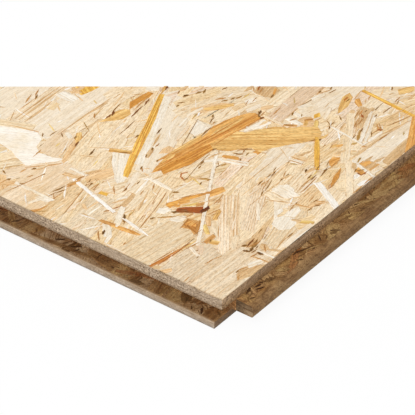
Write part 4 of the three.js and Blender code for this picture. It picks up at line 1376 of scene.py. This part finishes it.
def tint(tree, factor, base, name):
    """base multiplied by a named tint, as far as factor says."""
    return mix(tree, "MULTIPLY", factor, base, TINTS[name])


def blend(tree, factor, base, colour):
    """base turned into colour, as far as factor says."""
    return mix(tree, "MIX", factor, base, colour)


def grained(tree, pattern, colour, dark, pale, strength=None):
    """Darkens colour where a pattern is high and pales it where it is low.

    dark and pale each give where the change starts, where it is full, and the tint's name.
    """
    for start, full, name in (dark, pale):
        factor = span(tree, pattern, start, full)
        if strength is not None:
            factor = times(tree, factor, strength)
        colour = tint(tree, factor, colour, name)
    return colour


def along_axes(tree, vector):
    """The parts of a vector along X, Y and Z."""
    return node(tree, "ShaderNodeSeparateXYZ", Vector=vector).outputs


def channels(tree, colour):
    """The parts of a colour: Red, Green and Blue."""
    return node(tree, "ShaderNodeSeparateColor", Color=colour).outputs


def unsigned(tree, vector):
    """The parts of a vector along X, Y and Z without their signs."""
    made = node(tree, "ShaderNodeVectorMath", {"operation": "ABSOLUTE"}, _0=vector)
    return along_axes(tree, made.outputs[0])


def added(tree, first, second):
    """The sum of two vectors."""
    return node(tree, "ShaderNodeVectorMath", {"operation": "ADD"},
                _0=first, _1=second).outputs[0]


def stretched(tree, place, factors, shift=(0.0, 0.0, 0.0)):
    """A vector with each part multiplied and shifted."""
    made = node(tree, "ShaderNodeVectorMath", {"operation": "MULTIPLY"}, _0=place, _1=factors)
    return added(tree, made.outputs[0], shift)


def noise(tree, place, per_unit, shift=(0.0, 0.0, 0.0), detail=2.0, rough=0.5):
    """Noise between 0 and 1, with so many waves to a unit of place along each axis."""
    return node(tree, "ShaderNodeTexNoise", Vector=stretched(tree, place, per_unit, shift),
                Scale=1.0, Detail=detail, Roughness=rough).outputs["Fac"]


def cells(tree, place, per_unit):
    """A random colour for each of so many cells to a unit of place, as its channels."""
    made = node(tree, "ShaderNodeTexVoronoi", {"feature": "F1"},
                Vector=stretched(tree, place, per_unit), Scale=1.0)
    return channels(tree, made.outputs["Color"])


def carried(tree, name):
    """What the strands carry at their vertices under a name."""
    return node(tree, "ShaderNodeAttribute", {"attribute_name": name}).outputs


def new_finish(name):
    """A new material, its tree and its shader."""
    material = bpy.data.materials.new(name)
    material.use_nodes = True
    tree = material.node_tree
    return material, tree, tree.nodes["Principled BSDF"]


# ---------------------------------------------------------------- strand finish

def late_wood(tree, grain, spacing, strength):
    """The dark side of the growth rings, which wander and fade in and out along a strand."""
    wander = noise(tree, grain, (0.012, 0.05, 1.0))
    swing = maths(tree, "MULTIPLY_ADD", wander, 8.0, along_axes(tree, grain)["Y"])
    phase = maths(tree, "FRACT", maths(tree, "DIVIDE", swing, spacing))
    rising = maths(tree, "POWER", phase, 1.8)
    falling = span(tree, phase, 0.82, 1.0, 1.0, 0.0)
    patchy = noise(tree, grain, (0.025, 0.2, 1.0), (7.0, 3.0, 5.0))
    return times(tree, rising, falling, span(tree, patchy, 0.35, 0.65, 0.35, 1.0), strength)


def streaked(tree, streak, colour, tone, luck):
    """Dark and pale streaks along the grain, strongest in resinous wood."""
    some = times(tree, span(tree, luck["Red"], 0.2, 1.0, 0.2, 1.0),
                 span(tree, tone["Alpha"], 0.1, 0.6, 0.4))
    resinous = span(tree, channels(tree, tone["Color"])["Blue"], 0.3, 0.2)
    dark = larger(tree, times(tree, span(tree, streak, 0.48, 0.7), some),
                  times(tree, span(tree, streak, 0.46, 0.58), resinous))
    colour = tint(tree, dark, colour, "dark streak")
    colour = tint(tree, times(tree, resinous, span(tree, streak, 0.5, 0.4)), colour, "pale resin")
    return tint(tree, span(tree, streak, 0.5, 0.3, 0.0, 0.6), colour, "pale streak")


def stains_and_shade(tree, place, rim, colour):
    """Stains, painted shade with some dirt along the torn rims of strands, and darkening along the
    arrises of the panel.
    """
    stain = noise(tree, place, (45.0, 45.0, 45.0), detail=4.0, rough=0.6)
    colour = tint(tree, span(tree, stain, 0.52, 0.76), colour, "stain")
    # Painted shade, with some dirt, along the torn rims of strands.
    broken = noise(tree, place, (260.0, 260.0, 260.0))
    colour = tint(tree, times(tree, rim, span(tree, broken, 0.48, 0.62)), colour, "painted shade and dirt at torn rims")
    # Darker towards the arrises of the panel.
    off_middle = unsigned(tree, place)
    inland = maths(tree, "MINIMUM", minus(tree, EAST * MM, off_middle["X"]),
                   minus(tree, (NORTH + SIDE_MARGIN) * MM, off_middle["Y"]))
    return tint(tree, span(tree, inland, ARRIS_DARKENING_REACH * MM, 0.0), colour, "darker along the arrises")


def strand_finish():
    """Pressed strands: growth rings and fibres that follow each strand's own grain."""
    material, tree, shader = new_finish("pressed_strands")
    grain = carried(tree, "grain")["Vector"]
    tone = carried(tree, "tone")
    number = maths(tree, "FLOOR", along_axes(tree, grain)["Z"])
    luck = node(tree, "ShaderNodeTexWhiteNoise", {"noise_dimensions": "1D"}, W=number)
    luck = channels(tree, luck.outputs["Color"])

    late = late_wood(tree, grain, carried(tree, "spacing")["Fac"], tone["Alpha"])
    streak = noise(tree, grain, (0.02, 0.5, 1.0), (3.0, 9.0, 2.0), detail=3.0)
    fibre = noise(tree, grain, (0.10, 1.3, 1.0), (1.0, 4.0, 8.0), detail=3.0, rough=0.65)
    fuzz = noise(tree, grain, (0.7, 2.2, 1.0), (8.0, 5.0, 3.0), detail=1.0)
    fleck = noise(tree, grain, (0.26, 1.3, 1.0), (5.0, 2.0, 6.0))

    colour = tint(tree, late, tone["Color"], "late wood")
    colour = streaked(tree, streak, colour, tone, luck)
    ringed = span(tree, tone["Alpha"], 0.2, 0.7, 0.55, 1.0)
    colour = grained(tree, fibre, colour, (0.5, 0.72, "dark fibre"), (0.5, 0.28, "pale fibre"),
                     ringed)
    colour = grained(tree, fuzz, colour, (0.5, 0.7, "dark fuzz"), (0.5, 0.3, "pale fuzz"), ringed)
    flecked = times(tree, span(tree, luck["Green"], 0.35, 0.9), span(tree, fleck, 0.60, 0.72),
                    span(tree, tone["Alpha"], 0.25, 0.6))
    colour = tint(tree, flecked, colour, "fleck")
    place = node(tree, "ShaderNodeTexCoord").outputs["Object"]
    colour = stains_and_shade(tree, place, carried(tree, "rim")["Fac"], colour)
    tree.links.new(colour, shader.inputs["Base Color"])

    sheen_of_press = span(tree, streak, 0.3, 0.7, 0.62, 0.8)
    tree.links.new(sheen_of_press, shader.inputs["Roughness"])
    shader.inputs["Specular IOR Level"].default_value = 0.15
    relief = maths(tree, "MULTIPLY_ADD", fibre, 0.6, times(tree, late, -0.5))
    bump = node(tree, "ShaderNodeBump", Height=relief, Distance=0.00012, Strength=0.6)
    tree.links.new(bump.outputs["Normal"], shader.inputs["Normal"])
    return material


# ---------------------------------------------------------------- milled edge finish

def in_millimetres(tree):
    """Object coordinates in millimetres, and their parts."""
    place = node(tree, "ShaderNodeTexCoord").outputs["Object"]
    place = stretched(tree, place, (1 / MM, 1 / MM, 1 / MM))
    return place, along_axes(tree, place)


def flank_wear_and_light(tree, colour, place, where):
    """Torn fibres and blotches that the cutter leaves on a flank, painted light in the groove, at
    its open end, on its mouth and by the tongue's shoulder, and a plain nose.
    """
    rough_grain = noise(tree, place, (1.1, 1.6, 1.8), detail=4.0, rough=0.75)
    blotch = noise(tree, place, (0.10, 0.16, 0.16), (4.0, 8.0, 1.0), detail=3.0)
    colour = grained(tree, rough_grain, colour, (0.50, 0.62, "torn fibre"),
                     (0.46, 0.36, "raised fibre"))
    colour = grained(tree, blotch, colour, (0.5, 0.66, "dark blotch"),
                     (0.5, 0.34, "pale blotch"))

    # Painted light deep in the groove, stronger towards its open end, and on its mouth.
    past_mouth = larger(tree, minus(tree, WEST, where["X"]), minus(tree, where["Y"], NORTH))
    light_at_open_end = times(tree, span(tree, where["Y"], *OPEN_END_LIGHT_RUN),
                     span(tree, past_mouth, *OPEN_END_LIGHT_DEPTH))
    colour = tint(tree, span(tree, past_mouth, *GROOVE_LIGHT_SPAN), colour, "painted light in the groove")
    colour = tint(tree, light_at_open_end, colour, "painted light at the open groove end")
    colour = blend(tree, span(tree, past_mouth, *MOUTH_LIGHT_SPAN), colour, MOUTH_PAINTED_LIGHT)

    past_shoulder = larger(tree, minus(tree, where["X"], EAST), minus(tree, SOUTH, where["Y"]))
    on_tongue = span(tree, past_shoulder, *TONGUE_START)
    # Painted light on the tongue by its shoulder.
    light_by_shoulder = times(tree, span(tree, past_shoulder, *SHOULDER_LIGHT_SPAN), on_tongue)
    colour = tint(tree, on_tongue, colour, "tongue")
    colour = tint(tree, light_by_shoulder, colour, "painted light by the shoulder")
    layers = noise(tree, place, (0.15, 0.15, 1.3), detail=3.0, rough=0.65)
    nose = blend(tree, span(tree, layers, 0.36, 0.64), *NOSE_TONES)
    nose = tint(tree, span(tree, rough_grain, 0.5, 0.62), nose, "dark grain of the nose")
    return blend(tree, span(tree, past_shoulder, *NOSE_START), colour, nose)


def bared_finish():
    """Strands that the cutter has bared: brown with resin, worn like the flank itself and given its
    painted light.
    """
    material, tree, shader = new_finish("bared_strands")
    fibre = noise(tree, carried(tree, "grain")["Vector"], (0.10, 1.0, 1.0), detail=4.0, rough=0.6)
    colour = grained(tree, fibre, carried(tree, "tone")["Color"],
                     (0.48, 0.66, "resin in bared grain"), (0.48, 0.32, "worn bared grain"))
    colour = flank_wear_and_light(tree, colour, *in_millimetres(tree))
    tree.links.new(colour, shader.inputs["Base Color"])
    shader.inputs["Roughness"].default_value = 0.8
    shader.inputs["Specular IOR Level"].default_value = 0.2
    return material


def sawn_wood(tree, place, where, facing, tongue_end, speck):
    """The cut ends and sides of the strands, with painted shade where they lie deep in the joint
    and along the base of the lower lip.
    """
    layers = noise(tree, place, (0.12, 0.12, 1.3), detail=3.0, rough=0.6)
    open_grain = noise(tree, place, (0.04, 0.04, 0.1), detail=1.0)
    open_grain = times(tree, span(tree, open_grain, 0.4, 0.6, 0.5, 1.0),
                       span(tree, where["Z"], LOWER_FLANK, TONGUE_TOP, 0.4, 1.0))
    sawn = blend(tree, cells(tree, place, (0.3, 0.3, 1.2))["Red"], *SAWN_TONES)
    sawn = tint(tree, span(tree, layers, 0.5, 0.75), sawn, "dark layer")
    sawn = grained(tree, speck, sawn, (0.51, 0.60, "open pore"), (0.46, 0.36, "cut fibre end"),
                   open_grain)
    sawn = tint(tree, facing["Y"], sawn, "long side")

    # Painted shade at the root of the tongue's end.
    root_shade = times(tree, tongue_end, span(tree, where["Y"], *TONGUE_ROOT_SHADE_RUN))
    split_end = times(tree, tongue_end, span(tree, layers, 0.50, 0.58))
    lip_end = times(tree, facing["Y"],
                    span(tree, where["Z"], LOWER_FLANK, LOWER_FLANK - SEAM))
    sawn = tint(tree, tongue_end, sawn, "tongue end")
    sawn = tint(tree, root_shade, sawn, "painted shade at the root of the tongue end")
    sawn = tint(tree, split_end, sawn, "split in the tongue end")
    sawn = tint(tree, lip_end, sawn, "end of the lower lip")
    sawn = tint(tree, span(tree, where["Z"], *LIP_FACE), sawn, "face of the lower lip")
    # Painted shade along the base of the lower lip.
    sawn = tint(tree, span(tree, where["Z"], *LIP_BASE_SHADE), sawn, "painted shade at the base of the lower lip")

    # Painted shade at the feet of the upper lip and of the shoulder.
    above_joint = span(tree, where["Z"], LOWER_FLANK, TONGUE_TOP)
    lip_foot_shade = times(tree, span(tree, where["Z"], *UPPER_LIP_SHADE), above_joint, facing["X"])
    shoulder_foot_shade = times(tree, span(tree, where["Z"], *SHOULDER_FOOT_SHADE), above_joint,
                          facing["Y"])
    sawn = tint(tree, lip_foot_shade, sawn, "painted shade at the foot of the upper lip")
    return tint(tree, shoulder_foot_shade, sawn, "painted shade at the foot of the shoulder")


def planed_patches(tree, where):
    """Patches of strand on the planed flanks: their channels, and fibres along each one."""
    unrolled = node(tree, "ShaderNodeCombineXYZ", X=maths(tree, "ADD", where["X"], where["Z"]),
                    Y=minus(tree, where["Y"], where["Z"]), Z=where["Z"]).outputs[0]
    bent = noise(tree, unrolled, (0.2, 0.2, 0.2))
    bent = node(tree, "ShaderNodeCombineXYZ", X=bent, Y=bent).outputs[0]
    swayed = added(tree, unrolled, stretched(tree, bent, (7.0, 5.0, 0.0)))
    patch = cells(tree, swayed, (0.07, 0.13, 0.0))
    turned = node(tree, "ShaderNodeVectorRotate", {"rotation_type": "Z_AXIS"},
                  Vector=unrolled, Angle=times(tree, patch["Green"], 3.1)).outputs[0]
    return patch, noise(tree, turned, (0.12, 1.3, 0.3), detail=4.0, rough=0.6)


def edge_finish():
    """Milled edges: the cut ends and sides of the strands, in thin pressed layers."""
    material, tree, shader = new_finish("milled_edge")
    place, where = in_millimetres(tree)
    facing = unsigned(tree, node(tree, "ShaderNodeNewGeometry").outputs["Normal"])
    between_lips = times(tree, span(tree, where["Z"], LOWER_FLANK - SEAM, LOWER_FLANK + SEAM),
                         span(tree, where["Z"], TONGUE_TOP + 2 * SEAM, TONGUE_TOP))
    past_south = span(tree, where["Y"], SOUTH, SOUTH - SEAM)
    past_east = span(tree, where["X"], EAST, EAST + SEAM)
    tongue_end = larger(tree, times(tree, facing["X"], past_south),
                        times(tree, facing["Y"], past_east))
    planed = times(tree, larger(tree, span(tree, facing["Z"], 0.6, 0.8), between_lips),
                   minus(tree, 1.0, tongue_end))

    speck = noise(tree, place, (0.9, 0.9, 1.3), detail=3.0, rough=0.75)
    sawn = sawn_wood(tree, place, where, facing, tongue_end, speck)
    patch, fibre = planed_patches(tree, where)
    cracks = times(tree, span(tree, fibre, 0.64, 0.70), span(tree, patch["Blue"], 0.3, 0.8))
    flank = blend(tree, patch["Red"], *PLANED_TONES)
    flank = grained(tree, fibre, flank, (0.46, 0.62, "dark flank fibre"),
                    (0.44, 0.32, "pale flank fibre"))
    flank = tint(tree, cracks, flank, "crack")
    flank = flank_wear_and_light(tree, flank, place, where)
    flank = tint(tree, span(tree, where["Z"], *FLANK_FOOT), flank, "lower flank")
    pressed = blend(tree, patch["Red"], *PRESSED_TONES)
    pressed = tint(tree, span(tree, fibre, 0.46, 0.66), pressed, "gap between strands")
    off_middle = maths(tree, "ABSOLUTE", minus(tree, where["Z"], TOP / 2))
    colour = blend(tree, planed, sawn, flank)
    on_faces = span(tree, off_middle, TOP / 2 - SEAM, TOP / 2 - SKIN)
    colour = blend(tree, on_faces, colour, pressed)
    tree.links.new(colour, shader.inputs["Base Color"])

    shader.inputs["Roughness"].default_value = 0.8
    shader.inputs["Specular IOR Level"].default_value = 0.2
    bump = node(tree, "ShaderNodeBump", Height=speck, Distance=0.0003, Strength=0.7)
    tree.links.new(bump.outputs["Normal"], shader.inputs["Normal"])
    return material


# ---------------------------------------------------------------- floor, light and camera

# The floor lies just under the lowest strands of the underside. FLOOR_GLOW of what it shows
# is its own white glow, and the rest takes the panel's shadow. FLOOR_HEIGHT and FLOOR_REACH,
# from its middle to its sides, are in metres.
FLOOR_HEIGHT = -0.0006
FLOOR_REACH = 8
FLOOR_GREY = 0.9
FLOOR_GLOW = 0.93


def looked_at(tree):
    """1 where a ray comes from the camera, straight or by gloss or glass, and otherwise 0."""
    ray = node(tree, "ShaderNodeLightPath").outputs
    seen = larger(tree, ray["Is Camera Ray"], ray["Is Glossy Ray"])
    return larger(tree, seen, ray["Is Transmission Ray"])


def floor():
    """A plain pale floor that shows white and keeps a soft shadow under the panel."""
    bm = bmesh.new()
    bmesh.ops.create_grid(bm, x_segments=1, y_segments=1, size=FLOOR_REACH)
    bmesh.ops.translate(bm, vec=(0, 0, FLOOR_HEIGHT), verts=bm.verts)
    mesh = bpy.data.meshes.new("floor")
    bm.to_mesh(mesh)
    bm.free()
    material, tree, shader = new_finish("floor_white")
    shader.inputs["Base Color"].default_value = (FLOOR_GREY, FLOOR_GREY, FLOOR_GREY, 1)
    shader.inputs["Roughness"].default_value = 0.9
    glow = node(tree, "ShaderNodeEmission", Strength=1.0)
    mixed = node(tree, "ShaderNodeMixShader", _0=times(tree, looked_at(tree), FLOOR_GLOW),
                 _1=shader.outputs[0], _2=glow.outputs[0])
    tree.links.new(mixed.outputs[0], tree.nodes["Material Output"].inputs["Surface"])
    mesh.materials.append(material)
    sheet = bpy.data.objects.new("floor", mesh)
    bpy.context.scene.collection.objects.link(sheet)


def world_light(level):
    """Even light from all round; where it is looked at, it is white."""
    world = bpy.data.worlds.new("studio")
    world.use_nodes = True
    tree = world.node_tree
    background = tree.nodes["Background"]
    strength = span(tree, looked_at(tree), 0.0, 1.0, level, 1.0, smooth=False)
    tree.links.new(strength, background.inputs["Strength"])
    background.inputs["Color"].default_value = (1, 1, 1, 1)
    bpy.context.scene.world = world


def soft_lamp(name, aim, heading, elevation, distance, size, power):
    """A large area lamp that stands off from aim along a heading, east of north."""
    turn, rise = math.radians(heading), math.radians(elevation)
    level = math.cos(rise)
    away = Vector((math.sin(turn) * level, math.cos(turn) * level, math.sin(rise)))
    lamp = bpy.data.lights.new(name, "AREA")
    lamp.shape = "SQUARE"
    lamp.size = size
    lamp.energy = power
    stand = bpy.data.objects.new(name, lamp)
    stand.location = aim + away * distance
    stand.rotation_euler = away.to_track_quat("Z", "Y").to_euler()
    bpy.context.scene.collection.objects.link(stand)


# The picture is square. The camera looks past the panel's corner along a heading, east of
# north, and down. The corner stands at CORNER_IN_PICTURE. What lies beyond the line where the
# top face meets PICTURE_TOP isn't taken, nor is anything nearer than NEAREST_IN_PICTURE. The
# distances are in metres, and the sensor and the lens are in millimetres.
PICTURE_SIZE = 415
CORNER_IN_PICTURE = (221.86, 300.4)
PICTURE_TOP = 87
CAMERA_HEADING = math.radians(52.6)
CAMERA_DROP = math.radians(36.5)
CAMERA_DISTANCE = 1.937
NEAREST_IN_PICTURE = 0.05
FOCAL_LENGTH_IN_PIXELS = 4000
SENSOR_WIDTH = 36


def camera():
    """A long lens on the corner between the grooved end and the tongued side."""
    corner = Vector((WEST, SOUTH, TOP)) * MM
    sine, cosine = math.sin(CAMERA_HEADING), math.cos(CAMERA_HEADING)
    level = Vector((sine, cosine, 0))
    forward = level * math.cos(CAMERA_DROP) - Vector((0, 0, math.sin(CAMERA_DROP)))
    right = Vector((cosine, -sine, 0))
    up = right.cross(forward)
    middle = PICTURE_SIZE / 2
    pixel = CAMERA_DISTANCE / FOCAL_LENGTH_IN_PIXELS
    location = corner - forward * CAMERA_DISTANCE
    location -= right * (CORNER_IN_PICTURE[0] - middle) * pixel
    location -= up * (middle - CORNER_IN_PICTURE[1]) * pixel

    lens = bpy.data.cameras.new("camera")
    lens.sensor_width = SENSOR_WIDTH
    lens.lens = FOCAL_LENGTH_IN_PIXELS * SENSOR_WIDTH / PICTURE_SIZE
    rise = (middle - PICTURE_TOP) / FOCAL_LENGTH_IN_PIXELS
    lens.clip_start = NEAREST_IN_PICTURE
    lens.clip_end = (location.z - corner.z) / (-forward.z - rise * up.z)
    stand = bpy.data.objects.new("camera", lens)
    turn = Matrix((right, up, -forward)).transposed().to_4x4()
    stand.matrix_world = Matrix.Translation(location) @ turn
    bpy.context.scene.collection.objects.link(stand)
    bpy.context.scene.camera = stand


# ---------------------------------------------------------------- making it all

def corner_strands(rng):
    """Every listed strand of the corner as one layer, the broad ones lowest."""
    layer = StrandLayer(rng)
    lay_strands(layer, BROAD_BY_CORNER, BROAD_HEIGHTS, shaded=True)
    lay_strands(layer, WORKED_BY_CORNER, WORKED_HEIGHTS, shaded=False)
    lay_patches(layer)
    lay_marks(layer)
    lay_loose_fibres(layer)
    return layer


def dress_faces(rng, finish):
    """Strands over the top face and the underside, and the listed ones by the corner."""
    shapes = (broad_shapes(rng), split_shapes(rng), sliver_shapes(rng), chip_shapes(rng))
    raised = Matrix.Translation((0, 0, TOP))
    for side, share, low, high, place in (
            ("top", 1.0, (WEST, SOUTH), (EAST, NORTH), raised),
            ("underside", UNDERSIDE_SHARE, UNDERSIDE_LOW, UNDERSIDE_HIGH, UNDERSIDE_TURN)):
        layers = face_layers(rng, shapes, share, low, high)
        heights = strand_heights(rng, layers, side == "top")
        for name, own_shapes, strands, height in zip(FACE_LAYERS, shapes, layers, heights):
            layer = StrandLayer(rng)
            layer.lay_all(own_shapes, strands, height)
            finish_layer(layer, low, high, side + "_" + name + "_strands", place, finish)
    finish_layer(corner_strands(rng), (WEST, SOUTH), (EAST, NORTH), "top_corner_strands",
                 raised, finish)


def milled_flanks():
    """The flanks that show bared strands.

    Each has its lower and upper limit in plan, the edge of the cover area that it runs along,
    its height there, and how it climbs along X and Y from there.
    """
    climb = FLANK_TAPER / GROOVE_DEPTH
    mouth = LIP_MOUTH_ROUND - LIP_REACH
    root = GROOVE_DEPTH - GROOVE_ROOT_ROUND
    nose = TONGUE_REACH - TONGUE_NOSE_ROUND
    return {
        "end_groove": ((WEST + mouth, LOWER_SOUTH), (WEST + root, LOWER_NORTH),
                       WEST, LOWER_FLANK, climb, 0),
        "side_groove": ((WEST + root, NORTH - root), (LOWER_EAST, NORTH - mouth),
                        NORTH, LOWER_FLANK, 0, -climb),
        "end_tongue": ((EAST, SOUTH - nose), (EAST + nose, NORTH - GROOVE_DEPTH),
                       EAST, TONGUE_TOP, -climb, 0),
        "side_tongue": ((WEST + GROOVE_DEPTH, SOUTH - nose), (EAST, SOUTH),
                        SOUTH, TONGUE_TOP, 0, climb),
    }


def dress_flanks(rng, finish):
    """Strands that the milling has bared along the tongues' tops and in the grooves."""
    kinds = [flank_shapes(rng, longest, widest) for _, longest, widest, *_ in FLANK_LAYERS]
    for name, (low, high, edge, height, climb_x, climb_y) in milled_flanks().items():
        area = (high[0] - low[0]) * (high[1] - low[1])
        layer = StrandLayer(rng)
        for shapes, (tones, _, _, density, lowest) in zip(kinds, FLANK_LAYERS):
            count = round(area * density)
            strands = scatter(rng, shapes, count, low, high, tones, 0, FLANK_SPREAD, FLANK_STRAY)
            rise = lowest + FLANK_RISE * rng.permutation(count) / count
            rise += climb_x * (strands["place"][:, 0] - edge)
            rise += climb_y * (strands["place"][:, 1] - edge)
            layer.lay_all(shapes, strands, rise)
        if name == "side_tongue":
            lay_splinters(layer)
        raised = Matrix.Translation((0, 0, height))
        finish_layer(layer, low, high, name + "_strands", raised, finish)


camera()
floor()
world_light(level=0.62)
soft_lamp("key", aim=Vector((-1.15, -0.25, 0.0)), heading=262, elevation=48, distance=2.5,
          size=1.6, power=40)
PANEL.data.materials.clear()
PANEL.data.materials.append(edge_finish())
strand_rng = np.random.default_rng(LAYER_SEED)
dress_faces(strand_rng, strand_finish())
dress_flanks(strand_rng, bared_finish())

bpy.context.scene.view_settings.view_transform = "Standard"
